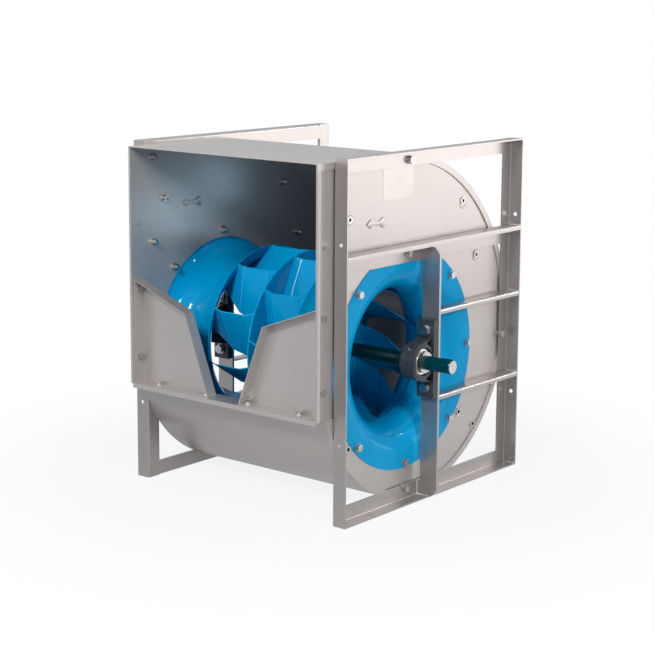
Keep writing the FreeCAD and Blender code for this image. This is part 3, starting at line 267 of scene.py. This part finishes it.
blue_paint = worn_material(
    "blue_powder_coat", base=FAN_BLUE, worn=FAN_BLUE_WORN,
    smooth=0.14, rough=0.22, scale=30, metallic=0.0, relief=0.02 * MM,
    coat=0.2, gloss=0.03, tint=(0.1, 0.6, 1.0))

ridge_paint = worn_material(
    "glossy_blue_ridge", base=FAN_BLUE, worn=FAN_BLUE_WORN,
    smooth=0.14, rough=0.22, scale=30, metallic=0.0, relief=0.02 * MM, coat=1.0, gloss=0.2)

shaft_coat = worn_material(
    "green_shaft_coat", base=(0.001, 0.03, 0.034), worn=(0.001, 0.022, 0.025),
    smooth=0.12, rough=0.22, scale=60, metallic=0.0, relief=0.01 * MM,
    coat=0.3, gloss=0.3, tint=(0.25, 0.8, 0.85))

cast_enamel = worn_material(
    "charcoal_casting", base=(0.022, 0.028, 0.035), worn=(0.045, 0.05, 0.055),
    smooth=0.35, rough=0.55, scale=90, metallic=0.2, relief=0.12 * MM, coat=0.1)

ground_steel = worn_material(
    "ground_steel", base=(0.66, 0.66, 0.66), worn=(0.5, 0.5, 0.5),
    smooth=0.16, rough=0.3, scale=80, metallic=1.0, relief=0.01 * MM)

bolt_zinc = worn_material(
    "bright_zinc_plate", base=(0.6, 0.6, 0.6), worn=(0.36, 0.36, 0.36),
    smooth=0.18, rough=0.34, scale=150, metallic=1.0, relief=0.01 * MM)

seal_rubber = worn_material(
    "black_seal_rubber", base=(0.01, 0.01, 0.01), worn=(0.02, 0.02, 0.02),
    smooth=0.5, rough=0.7, scale=200, metallic=0.0, relief=0.03 * MM)

card_grey = worn_material(
    "grey_studio_card", base=(0.5, 0.5, 0.5), worn=(0.48, 0.48, 0.48),
    smooth=0.9, rough=0.95, scale=5, metallic=0.0, relief=0.0)

SLOT_MATERIALS = {
    "galvanized_sheet": plate_zinc,
    "galvanized_frame": frame_zinc,
    "blue_paint": blue_paint,
    "hub_steel": blue_paint,
    "shaft_coat": shaft_coat,
    "cast_housing": cast_enamel,
    "bearing_steel": ground_steel,
    "zinc_fasteners": bolt_zinc,
    "seal_rubber": seal_rubber,
}
SLOT_OF_NODE = {part["node"]: part["material_slot"] for part in fan_record["subparts"]}


# Modelling helpers

def deselect_everything():
    if bpy.context.object and bpy.context.object.mode != "OBJECT":
        bpy.ops.object.mode_set(mode="OBJECT")
    bpy.ops.object.select_all(action="DESELECT")


def make_only_active(piece):
    deselect_everything()
    piece.select_set(True)
    bpy.context.view_layer.objects.active = piece


def start_editing(piece):
    """Opens a piece's mesh with nothing in it selected."""
    make_only_active(piece)
    bpy.ops.object.mode_set(mode="EDIT")
    bpy.ops.mesh.select_all(action="DESELECT")


def stop_editing():
    bpy.ops.object.mode_set(mode="OBJECT")


def deselect_mesh(piece):
    """Leaves nothing selected in a piece's mesh."""
    start_editing(piece)
    stop_editing()


def apply_modifier(piece, kind, **settings):
    """Adds a modifier to a piece and applies it at once."""
    make_only_active(piece)
    modifier = piece.modifiers.new(kind.lower(), kind)
    for key, value in settings.items():
        setattr(modifier, key, value)
    bpy.ops.object.modifier_apply(modifier=modifier.name)


def apply_placement(piece):
    """Puts a piece's place, turn and scale into its mesh."""
    make_only_active(piece)
    bpy.ops.object.transform_apply(location=True, rotation=True, scale=True)


def settle_piece(piece, name, material, body):
    """Names a piece, puts its place in its mesh, and lets it ride on its body."""
    apply_placement(piece)
    piece.name = name
    piece.data.name = name
    piece.data.materials.clear()
    piece.data.materials.append(material)
    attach(piece, body)
    return piece


DRILL_LENGTH = 12 * MM
SMALL_HOLE_RADIUS = 2.4 * MM


def drill_through(piece, place, direction):
    """Cuts a small round hole through a sheet."""
    deselect_everything()
    bpy.ops.mesh.primitive_cylinder_add(vertices=32, radius=SMALL_HOLE_RADIUS, depth=DRILL_LENGTH,
                                        location=place,
                                        rotation=direction.to_track_quat("Z", "Y").to_euler())
    drill = bpy.context.active_object
    apply_modifier(piece, "BOOLEAN", object=drill, operation="DIFFERENCE", solver="EXACT")
    bpy.data.objects.remove(drill)


MERGE_GAP = 0.01 * MM
SAME_PLANE_ANGLE = 0.5
SHARP_CORNER_ANGLE = 50

# Faces that meet at less than these angles shade as one
ROUND_NODE_ANGLE = 32
NEW_PIECE_ANGLE = 35
BLADE_SMOOTH_ANGLE = 12


def smooth_copy(node, bevel=0.0, angle=ROUND_NODE_ANGLE, flat_first=False, holes=()):
    """A welded copy of a node with softened edges and smooth round faces, shown in its place."""
    make_only_active(fan_nodes[node])
    bpy.ops.object.duplicate()
    piece = bpy.context.active_object
    start_editing(piece)
    bpy.ops.mesh.select_all(action="SELECT")
    bpy.ops.mesh.remove_doubles(threshold=MERGE_GAP)
    if flat_first:
        bpy.ops.mesh.dissolve_limited(angle_limit=math.radians(SAME_PLANE_ANGLE))
    stop_editing()
    for place, direction in holes:
        drill_through(piece, place, direction)
    if bevel:
        apply_modifier(piece, "BEVEL", width=bevel, segments=2, limit_method="ANGLE",
                       angle_limit=math.radians(SHARP_CORNER_ANGLE), use_clamp_overlap=True)
    make_only_active(piece)
    bpy.ops.mesh.customdata_custom_splitnormals_clear()
    bpy.ops.object.shade_smooth_by_angle(angle=math.radians(angle), keep_sharp_edges=False)
    if bevel:
        apply_modifier(piece, "WEIGHTED_NORMAL", weight=100, keep_sharp=True)
    slot = SLOT_OF_NODE[node]
    settle_piece(piece, node + "_finished", SLOT_MATERIALS[slot], body_of_node(node))
    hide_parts(node)


def hand_over(piece, material, body, name):
    """Softens a new piece's round faces and settles it."""
    make_only_active(piece)
    bpy.ops.object.shade_smooth_by_angle(angle=math.radians(NEW_PIECE_ANGLE))
    return settle_piece(piece, name, material, body)


BLANK_RADIUS = 10 * MM


def cut_sheet(outline, thickness, face_x, outwards):
    """A flat shape in the side plane: a blank whose corners go to those of an outline, (y, z)
    each, raised from a face along X."""
    deselect_everything()
    bpy.ops.mesh.primitive_circle_add(vertices=len(outline), radius=BLANK_RADIUS,
                                      fill_type="NGON")
    piece = bpy.context.active_object
    start_editing(piece)
    bpy.ops.mesh.select_mode(type="VERT")
    stop_editing()
    for number, (y, z) in enumerate(outline):
        deselect_mesh(piece)
        corner = piece.data.vertices[number]
        corner.select = True
        step = Vector((face_x, y, z)) - corner.co
        bpy.ops.object.mode_set(mode="EDIT")
        bpy.ops.transform.translate(value=step)
        stop_editing()
    start_editing(piece)
    bpy.ops.mesh.select_all(action="SELECT")
    raise_by = (thickness * outwards, 0, 0)
    bpy.ops.mesh.extrude_region_move(TRANSFORM_OT_translate={"value": raise_by})
    bpy.ops.mesh.select_all(action="SELECT")
    bpy.ops.mesh.normals_make_consistent(inside=False)
    stop_editing()
    return piece


def flat_ring(place, radius, wire_radius, steps, wire_steps, flatness):
    """A ring round the direction of the shaft, pressed flatter that way."""
    deselect_everything()
    bpy.ops.mesh.primitive_torus_add(major_segments=steps, minor_segments=wire_steps,
                                     major_radius=radius, minor_radius=wire_radius,
                                     location=place, rotation=ALONG_X)
    ring = bpy.context.active_object
    bpy.ops.transform.resize(value=(flatness, 1, 1))
    return ring


RIPPLE_PITCH = 0.42
RIPPLE_SHAPE = (0.8, 1.0, 0.75)


def weld_bead(start, end, width, material, body, name):
    """A rippled bead of weld between two points."""
    run = end - start
    pitch = width * RIPPLE_PITCH
    deselect_everything()
    bpy.ops.mesh.primitive_ico_sphere_add(subdivisions=2, radius=width / 2)
    piece = bpy.context.active_object
    bpy.ops.transform.resize(value=RIPPLE_SHAPE)
    make_only_active(piece)
    bpy.ops.object.transform_apply(scale=True)
    apply_modifier(piece, "ARRAY", count=max(2, round(run.length / pitch)),
                   use_relative_offset=False, use_constant_offset=True,
                   constant_offset_displace=(pitch, 0, 0))
    piece.rotation_euler = run.to_track_quat("X", "Z").to_euler()
    piece.location = start
    return hand_over(piece, material, body, name)


# Finishes on the construction itself

ROUND_PARTS = ("scroll_wrap", "shaft", "hub")
ROUND_SIDE_PARTS = ("inlet_nozzle", "shroud", "bearing_housing", "bearing_inner_ring",
                    "bearing_outer_ring", "locking_collar", "grease_nipple")
FRAME_MEMBERS = ("front_post", "back_post", "bottom_rail", "top_rail", "cross_rail",
                 "upper_brace", "lower_brace", "bearing_strut")
ROLLED_EDGE = 0.5 * MM
SHEET_EDGE = 0.3 * MM
SMALL_HOLE_Y = -332 * MM
FLAT_FLANGE_HOLE = {"x": 129 * MM, "z": 397.4 * MM, "across": -0.35, "up": 0.94}
STEEP_FLANGE_HOLE = {"x": 99 * MM, "z": 371 * MM, "across": -0.93, "up": 0.36}


def cutoff_holes(hand):
    """Places and directions of the two small holes in one cut-off plate."""
    return [(Vector((hand * hole["x"], SMALL_HOLE_Y, hole["z"])),
             Vector((hand * hole["across"], 0, hole["up"])))
            for hole in (FLAT_FLANGE_HOLE, STEEP_FLANGE_HOLE)]


def finish_construction():
    """Gives every node its finish, and a smooth copy where its edges or round faces show."""
    for name, node in fan_nodes.items():
        node.data.materials.clear()
        node.data.materials.append(SLOT_MATERIALS[SLOT_OF_NODE[name]])
    for name in ROUND_PARTS:
        smooth_copy(name)
    for side in SIDES:
        for name in ROUND_SIDE_PARTS:
            smooth_copy(f"{name}_{side}")
    for side, hand in SIDES.items():
        for member in FRAME_MEMBERS:
            smooth_copy(f"{member}_{side}", bevel=ROLLED_EDGE, flat_first=True)
        smooth_copy(f"cutoff_plate_{side}", bevel=SHEET_EDGE, flat_first=True,
                    holes=cutoff_holes(hand))
        smooth_copy(f"blades_{side}", angle=BLADE_SMOOTH_ANGLE)
    smooth_copy("outlet_lip", bevel=SHEET_EDGE, flat_first=True)


# Pressed arrows and the bare plate on the sides of the casing

FRAME_FRONT_Y = -305 * MM
PLATE_OUTSIDE = 255.5 * MM
PLATE_INSIDE = 253.5 * MM
ARROW_Y = FRAME_FRONT_Y + 134 * MM
ARROW_Z = 594 * MM
ARROW_RISE = 2 * MM
ARROW_SHOULDER = 1.2 * MM
ARROW_HALF_WIDTH = 10 * MM
SHANK_HALF_WIDTH = 4.4 * MM
ARROW_OUTLINE = [
    (-30 * MM, 0),
    (-15 * MM, ARROW_HALF_WIDTH), (-15 * MM, SHANK_HALF_WIDTH),
    (14 * MM, SHANK_HALF_WIDTH), (20 * MM, ARROW_HALF_WIDTH), (30 * MM, ARROW_HALF_WIDTH),
    (25 * MM, 0),
    (30 * MM, -ARROW_HALF_WIDTH), (20 * MM, -ARROW_HALF_WIDTH), (14 * MM, -SHANK_HALF_WIDTH),
    (-15 * MM, -SHANK_HALF_WIDTH), (-15 * MM, -ARROW_HALF_WIDTH),
]


def make_arrows():
    """The arrow pressed in each side plate, which points where the air leaves."""
    outline = [(ARROW_Y + y, ARROW_Z + z) for y, z in ARROW_OUTLINE]
    for side, hand in SIDES.items():
        for place, face, outwards in (("outside", PLATE_OUTSIDE, hand),
                                      ("inside", PLATE_INSIDE, -hand)):
            arrow = cut_sheet(outline, ARROW_RISE, face * hand, outwards)
            apply_modifier(arrow, "BEVEL", width=ARROW_SHOULDER, segments=3, limit_method="ANGLE")
            hand_over(arrow, plate_zinc, "casing",
                      f"airflow_arrow_{place}_{side}")


BARE_PLATE_Y = (FRAME_FRONT_Y + 157 * MM, FRAME_FRONT_Y + 258 * MM)
BARE_PLATE_Z = (636 * MM, 707 * MM)
BARE_PLATE_THICKNESS = 0.4 * MM
BARE_PLATE_CORNER = 3 * MM


def make_bare_plate():
    """The plain plate on the drive side."""
    low_y, high_y = BARE_PLATE_Y
    low_z, high_z = BARE_PLATE_Z
    outline = [(low_y, low_z), (high_y, low_z), (high_y, high_z), (low_y, high_z)]
    plate = cut_sheet(outline, BARE_PLATE_THICKNESS, PLATE_OUTSIDE, 1)
    apply_modifier(plate, "BEVEL", width=BARE_PLATE_CORNER, segments=5, limit_method="ANGLE",
                   affect="EDGES")
    hand_over(plate, label_film, "casing", "bare_plate")
    apply_modifier(plate, "WEIGHTED_NORMAL", weight=100, keep_sharp=True)


# Welds of the frame, as (x, y, z) on the drive side

FRAME_BEAD = 3.6 * MM
POST_INSIDE_Y = 301.5 * MM
STRUT_FRONT_Y = SHAFT_Y + 43 * MM
RAIL_FACE = 261.5 * MM
BRACE_FACE = 264 * MM
RAIL_EDGE = 290 * MM
BOTTOM_RAIL_TOP = 3.5 * MM
RAIL_SEAMS = {"foot": BOTTOM_RAIL_TOP, "head": 731.5 * MM, "cross": 544.5 * MM}
BRACE_SEAMS = {"upper_brace": 398 * MM, "lower_brace": 215 * MM}
STRUT_SEAM = (5 * MM, 32 * MM)


def frame_seams():
    """Label, start and end of each seam on the drive side of the frame."""
    seams = []
    for member, z in RAIL_SEAMS.items():
        for post, y in (("front", -POST_INSIDE_Y), ("back", POST_INSIDE_Y)):
            seams.append((f"{member}_{post}", (RAIL_FACE, y, z), (RAIL_EDGE, y, z)))
    for member, z in BRACE_SEAMS.items():
        seams.append((member, (BRACE_FACE, POST_INSIDE_Y, z), (RAIL_EDGE, POST_INSIDE_Y, z)))
    low, high = STRUT_SEAM
    seams.append(("strut_upright", (RAIL_FACE, STRUT_FRONT_Y, low), (RAIL_FACE, STRUT_FRONT_Y, high)))
    seams.append(("strut_level", (RAIL_FACE, STRUT_FRONT_Y, BOTTOM_RAIL_TOP),
                  (RAIL_EDGE, STRUT_FRONT_Y, BOTTOM_RAIL_TOP)))
    return seams


def make_frame_welds():
    """Fillet beads where the frame's members meet."""
    for side, hand in SIDES.items():
        mirror = Vector((hand, 1, 1))
        for label, start, end in frame_seams():
            weld_bead(Vector(start) * mirror, Vector(end) * mirror, FRAME_BEAD, weld_zinc,
                      "casing", f"weld_{label}_{side}")


# Raised rims round the spare rivet nuts, at (y, z) from the shaft

DIMPLE_RADIUS = 11 * MM
DIMPLE_WIRE = 1.9 * MM
DIMPLE_FLATNESS = 0.55
DIMPLE_PLACES = [(-186, 309), (199, 306), (250, 187), (251, -189), (195, -150), (-185, -152)]


def make_dimples():
    """Six to each side plate."""
    for side, hand in SIDES.items():
        for number, (y, z) in enumerate(DIMPLE_PLACES):
            place = (PLATE_OUTSIDE * hand, SHAFT_Y + y * MM, SHAFT_Z + z * MM)
            rim = flat_ring(place, DIMPLE_RADIUS, DIMPLE_WIRE, steps=40, wire_steps=10,
                            flatness=DIMPLE_FLATNESS)
            hand_over(rim, plate_zinc, "casing",
                      f"nut_dimple_{side}_{number + 1}")


# Creases and welds of the blades, placed in millimetres in the blade's own axes: x from the
# middle disc, y square to the blade's face and z along it, both from the shaft

BLADE_COUNT = 11
BLADE_TURN = {"right": 9, "left": 9 - 180 / BLADE_COUNT}
BLADE_MIDDLE_Y = -130
RIDGE_RADIUS = 1.7 * MM
RIDGE_OUTER_END = 150.5
INNER_RIDGE = {"x": 25, "inner_end": 35}
OUTER_RIDGE = {"x": 93, "inner_end": 54.5}
DISC_BEAD = 4 * MM
DISC_SEAM_X = 2
DISC_SEAM_Y = {"inner": -123.5, "outer": -126.5}
DISC_STITCHES = [(48, 60), (84, 96), (120, 132)]
ROTOR_MERGE_GAP = 0.02 * MM


def repeat_on_rotor(piece):
    """Copies what stands at one blade to all the others."""
    start_editing(piece)
    bpy.ops.mesh.select_all(action="SELECT")
    bpy.ops.mesh.spin(steps=BLADE_COUNT, dupli=True, angle=math.tau,
                      center=(0, SHAFT_Y, SHAFT_Z), axis=(1, 0, 0), use_auto_merge=False)
    bpy.ops.mesh.select_all(action="SELECT")
    bpy.ops.mesh.remove_doubles(threshold=ROTOR_MERGE_GAP)
    stop_editing()


def at_blade(side, x, y, z):
    """A point beside the first blade, from its place in the blade's own axes."""
    turn = Matrix.Rotation(math.radians(BLADE_TURN[side]), 4, "X")
    return Vector((0, SHAFT_Y, SHAFT_Z)) + turn @ Vector((SIDES[side] * x, y, z)) * MM


def make_blade_ridges():
    """The two creases pressed along each blade."""
    for side in SIDES:
        for number, ridge in enumerate((INNER_RIDGE, OUTER_RIDGE)):
            start = at_blade(side, ridge["x"], BLADE_MIDDLE_Y, ridge["inner_end"])
            end = at_blade(side, ridge["x"], BLADE_MIDDLE_Y, RIDGE_OUTER_END)
            run = end - start
            deselect_everything()
            bpy.ops.mesh.primitive_cylinder_add(vertices=20, radius=RIDGE_RADIUS, depth=run.length,
                                                location=(start + end) / 2,
                                                rotation=run.to_track_quat("Z", "Y").to_euler())
            piece = bpy.context.active_object
            apply_placement(piece)
            repeat_on_rotor(piece)
            hand_over(piece, ridge_paint, "rotor",
                      f"blade_ridges_{side}_{number + 1}")


def make_blade_welds():
    """Painted stitch welds that hold each blade to the middle disc."""
    for side in SIDES:
        for number, (low, high) in enumerate(DISC_STITCHES):
            for label, y in DISC_SEAM_Y.items():
                start = at_blade(side, DISC_SEAM_X, y, low)
                end = at_blade(side, DISC_SEAM_X, y, high)
                bead = weld_bead(start, end, DISC_BEAD, blue_paint, "rotor",
                                 f"blade_weld_{label}_{side}_{number + 1}")
                repeat_on_rotor(bead)


# The ground end of the drive shaft with its centre drilling

SHAFT_END_X = 378 * MM
END_FACE_X = 378.2 * MM
END_FACE_THICKNESS = 0.6 * MM
END_FACE_RADIUS = 13.3 * MM
END_LAND_WIDTH = 9.3 * MM
DRILLING_EDGE = 0.2 * MM
DRILLING_DEPTH = 0.3 * MM
DRILLING_TAPER = 0.35
FACES_OUTWARDS = 0.9


def make_shaft_end():
    deselect_everything()
    bpy.ops.mesh.primitive_cylinder_add(vertices=64, radius=END_FACE_RADIUS,
                                        depth=END_FACE_THICKNESS,
                                        location=(END_FACE_X, SHAFT_Y, SHAFT_Z), rotation=ALONG_X)
    piece = bpy.context.active_object
    apply_placement(piece)
    deselect_mesh(piece)
    for face in piece.data.polygons:
        face.select = face.normal.x > FACES_OUTWARDS
    bpy.ops.object.mode_set(mode="EDIT")
    bpy.ops.mesh.select_mode(type="FACE")
    bpy.ops.mesh.inset(thickness=END_LAND_WIDTH)
    bpy.ops.mesh.inset(thickness=DRILLING_EDGE)
    bpy.ops.mesh.extrude_region_move(TRANSFORM_OT_translate={"value": (-DRILLING_DEPTH, 0, 0)})
    bpy.ops.transform.resize(value=(1, DRILLING_TAPER, DRILLING_TAPER),
                             center_override=(SHAFT_END_X, SHAFT_Y, SHAFT_Z))
    stop_editing()
    hand_over(piece, ground_steel, "rotor", "shaft_end_face")


FLINGER_X = 300.9 * MM
FLINGER_RADIUS = 25 * MM
FLINGER_WIRE = 3.2 * MM
FLINGER_FLATNESS = 0.5


def make_flingers():
    """The pressed steel rings over the bearings' seals."""
    for side, hand in SIDES.items():
        ring = flat_ring((FLINGER_X * hand, SHAFT_Y, SHAFT_Z), FLINGER_RADIUS, FLINGER_WIRE,
                         steps=64, wire_steps=12, flatness=FLINGER_FLATNESS)
        hand_over(ring, ground_steel, "rotor", f"bearing_flinger_{side}")


# Camera, fitted to the corners of the fan's frame in the photograph

PHOTO_SIZE = 654
CAMERA_PLACE = (2.3209, -2.8206, 1.0686)
CAMERA_YAW = 38.787
CAMERA_PITCH = -9.949
CAMERA_ROLL = 0.461
FOCAL_PIXELS = 1701.0
CENTRE_PIXEL = (350.0, 280.0)
SENSOR_MM = 36.0


def make_camera():
    camera = bpy.data.objects.new("photo_camera", bpy.data.cameras.new("photo_camera"))
    bpy.context.scene.collection.objects.link(camera)
    yaw, pitch, roll = (math.radians(angle) for angle in (-CAMERA_YAW, CAMERA_PITCH, CAMERA_ROLL))
    forward = Vector((math.sin(yaw) * math.cos(pitch), math.cos(yaw) * math.cos(pitch),
                      math.sin(pitch)))
    level = Vector((math.cos(yaw), -math.sin(yaw), 0))
    upward = level.cross(forward)
    right = level * math.cos(roll) + upward * math.sin(roll)
    above = upward * math.cos(roll) - level * math.sin(roll)
    turn = Matrix((right, above, -forward)).transposed().to_4x4()
    camera.matrix_world = Matrix.Translation(CAMERA_PLACE) @ turn
    camera.data.sensor_width = SENSOR_MM
    camera.data.lens = FOCAL_PIXELS * SENSOR_MM / PHOTO_SIZE
    camera.data.shift_x = (PHOTO_SIZE / 2 - CENTRE_PIXEL[0]) / PHOTO_SIZE
    camera.data.shift_y = (CENTRE_PIXEL[1] - PHOTO_SIZE / 2) / PHOTO_SIZE
    bpy.context.scene.camera = camera


# Studio

WHITE = (1, 1, 1, 1)


def add_softbox(name, place, target, size, power, colour):
    """A rectangular lamp aimed at a point, which the camera doesn't see."""
    lamp = bpy.data.lights.new(name, "AREA")
    lamp.shape = "RECTANGLE"
    lamp.size, lamp.size_y = size
    lamp.energy = power
    lamp.color = colour
    holder = bpy.data.objects.new(name, lamp)
    bpy.context.scene.collection.objects.link(holder)
    holder.location = place
    holder.visible_camera = False
    aim = Vector(target) - Vector(place)
    holder.rotation_euler = aim.to_track_quat("-Z", "Y").to_euler()


def add_flag(name, foot, width, height):
    """A grey card that only shows in reflections, upright on its foot and facing the fan."""
    deselect_everything()
    foot = Vector(foot)
    aim = Vector((foot.x, foot.y, 0))
    bpy.ops.mesh.primitive_plane_add(size=1, location=foot + Vector((0, 0, height / 2)),
                                     rotation=aim.to_track_quat("Z", "Y").to_euler())
    card = bpy.context.active_object
    card.name = name
    card.scale = (width, height, 1)
    card.visible_camera = False
    card.visible_diffuse = False
    card.visible_shadow = False
    card.data.materials.append(card_grey)


FLOOR_SIZE = 14
FLOOR_GAP = 0.5 * MM
TOWARDS_BACK_RIGHT = (0.6, 0.8, 0)


def floor_material():
    """White to the camera but for a soft shadow near the fan, and in the fan's shiny faces
    brighter towards the back right."""
    material, tree, shader = new_material("pale_floor")
    set_sockets(shader, Roughness=0.9)
    output = tree.nodes["Material Output"]
    spot = object_coordinates(tree)
    reach = add_shader_node(tree, "ShaderNodeVectorMath", (-700, -200), operation="LENGTH")
    fade = add_shader_node(tree, "ShaderNodeMapRange", (-500, -200),
                           interpolation_type="SMOOTHSTEP")
    set_sockets(fade, From_Min=0.35, From_Max=1.1, To_Min=0.86, To_Max=1.0)
    rays = add_shader_node(tree, "ShaderNodeLightPath", (-700, 300))
    # In shiny faces the floor takes a darker colour, 0.3 instead of 0.6: a painted darker reflection
    tone = add_shader_node(tree, "ShaderNodeMapRange", (-250, 400))
    set_sockets(tone, To_Min=0.6, To_Max=0.3)
    depth = add_shader_node(tree, "ShaderNodeVectorMath", (-900, 100), operation="DOT_PRODUCT")
    depth.inputs[1].default_value = TOWARDS_BACK_RIGHT
    # The floor's white glow in shiny faces grows towards the back right: a painted reflection
    glare = add_shader_node(tree, "ShaderNodeMapRange", (-750, 100))
    set_sockets(glare, From_Min=-0.7, From_Max=0.7, To_Min=0.34, To_Max=0.95)
    mirrored = add_shader_node(tree, "ShaderNodeMath", (-600, 100), operation="MULTIPLY")
    direct = add_shader_node(tree, "ShaderNodeMath", (-450, 300), operation="MAXIMUM")
    seen = add_shader_node(tree, "ShaderNodeMath", (-250, 200), operation="MULTIPLY")
    white = add_shader_node(tree, "ShaderNodeEmission", (0, -200))
    set_sockets(white, Color=WHITE, Strength=1.0)
    blend = add_shader_node(tree, "ShaderNodeMixShader", (300, 0))
    link = tree.links.new
    link(spot, reach.inputs[0])
    link(reach.outputs["Value"], fade.inputs["Value"])
    link(rays.outputs["Is Camera Ray"], direct.inputs[0])
    link(rays.outputs["Is Glossy Ray"], tone.inputs["Value"])
    link(tone.outputs["Result"], shader.inputs["Base Color"])
    link(spot, depth.inputs[0])
    link(depth.outputs["Value"], glare.inputs["Value"])
    link(rays.outputs["Is Glossy Ray"], mirrored.inputs[0])
    link(glare.outputs["Result"], mirrored.inputs[1])
    link(mirrored.outputs["Value"], direct.inputs[1])
    link(direct.outputs["Value"], seen.inputs[0])
    link(fade.outputs["Result"], seen.inputs[1])
    link(seen.outputs["Value"], blend.inputs["Fac"])
    link(shader.outputs["BSDF"], blend.inputs[1])
    link(white.outputs["Emission"], blend.inputs[2])
    link(blend.outputs["Shader"], output.inputs["Surface"])
    return material


def make_floor():
    deselect_everything()
    bpy.ops.mesh.primitive_plane_add(size=FLOOR_SIZE, location=(0, 0, -FLOOR_GAP))
    floor = bpy.context.active_object
    floor.name = "studio_floor"
    floor.data.materials.append(floor_material())


def make_world():
    """A white backdrop for the camera and for reflections, and a dim bluish fill for the rest."""
    world = bpy.data.worlds.new("studio")
    bpy.context.scene.world = world
    world.use_nodes = True
    tree = world.node_tree
    tree.nodes.clear()
    output = add_shader_node(tree, "ShaderNodeOutputWorld", (600, 0))
    rays = add_shader_node(tree, "ShaderNodeLightPath", (-600, 0))
    seen = add_shader_node(tree, "ShaderNodeMath", (-300, 0), operation="MAXIMUM")
    shown = add_shader_node(tree, "ShaderNodeMath", (-100, 0), operation="MAXIMUM")
    ambient = add_shader_node(tree, "ShaderNodeBackground", (100, -100))
    backdrop = add_shader_node(tree, "ShaderNodeBackground", (100, 100))
    choose = add_shader_node(tree, "ShaderNodeMixShader", (400, 0))
    set_sockets(ambient, Color=(0.72, 0.87, 1.0, 1), Strength=0.37)
    set_sockets(backdrop, Color=WHITE, Strength=1.0)
    link = tree.links.new
    link(rays.outputs["Is Camera Ray"], seen.inputs[0])
    link(rays.outputs["Is Glossy Ray"], seen.inputs[1])
    link(seen.outputs["Value"], shown.inputs[0])
    link(rays.outputs["Is Transmission Ray"], shown.inputs[1])
    link(shown.outputs["Value"], choose.inputs["Fac"])
    link(ambient.outputs["Background"], choose.inputs[1])
    link(backdrop.outputs["Background"], choose.inputs[2])
    link(choose.outputs["Shader"], output.inputs["Surface"])


FAN_MIDDLE = (0, 0, 0.35)
NEUTRAL_LIGHT = (1.0, 0.98, 0.97)
COOL_LIGHT = (0.95, 0.98, 1.0)
INSIDE_LIGHT = (0.5, 0.78, 1.0)


def make_lamps():
    """Softboxes round the fan, and two small ones inside the scroll that lift its deep shade."""
    add_softbox("right_back_softbox", place=(2.7, 2.6, 0.5), target=FAN_MIDDLE,
                size=(3.0, 1.3), power=26, colour=(1.0, 0.95, 0.92))
    add_softbox("key_softbox", place=(3.0, -1.2, 1.6), target=FAN_MIDDLE,
                size=(0.45, 0.45), power=48, colour=(1.0, 0.97, 0.95))
    add_softbox("rim_softbox", place=(1.4, 2.3, 1.8), target=(0.25, -0.07, 0.3),
                size=(0.5, 0.3), power=13, colour=(1.0, 0.99, 0.98))
    add_softbox("left_front_softbox", place=(-2.5, -2.9, 0.8), target=FAN_MIDDLE,
                size=(1.4, 1.2), power=17, colour=NEUTRAL_LIGHT)
    add_softbox("left_softbox", place=(-3.1, -0.2, 1.0), target=FAN_MIDDLE,
                size=(1.8, 1.6), power=26, colour=NEUTRAL_LIGHT)
    add_softbox("outlet_softbox", place=(0.8, -2.8, 2.3), target=(-0.1, 0, 0.45),
                size=(0.5, 0.5), power=78, colour=COOL_LIGHT)
    add_softbox("inside_softbox", place=(0.15, 0.17, 0.5), target=(-0.25, -0.1, 0.62),
                size=(0.12, 0.12), power=0.12, colour=INSIDE_LIGHT)
    add_softbox("inside_glow", place=(-0.11, 0.07, 0.61), target=(-0.25, 0.02, 0.65),
                size=(0.09, 0.09), power=0.016, colour=INSIDE_LIGHT)


def make_studio():
    make_world()
    make_floor()
    make_lamps()
    add_flag("front_left_flag", foot=(-1.35, -1.6, 0.0), width=2.4, height=0.75)
    add_flag("back_left_flag", foot=(-2.2, 2.6, 0.75), width=3.2, height=0.75)


finish_construction()
make_arrows()
make_bare_plate()
make_frame_welds()
make_dimples()
make_blade_ridges()
make_blade_welds()
make_shaft_end()
make_flingers()
make_camera()
make_studio()

bpy.context.scene.view_settings.view_transform = "Standard"
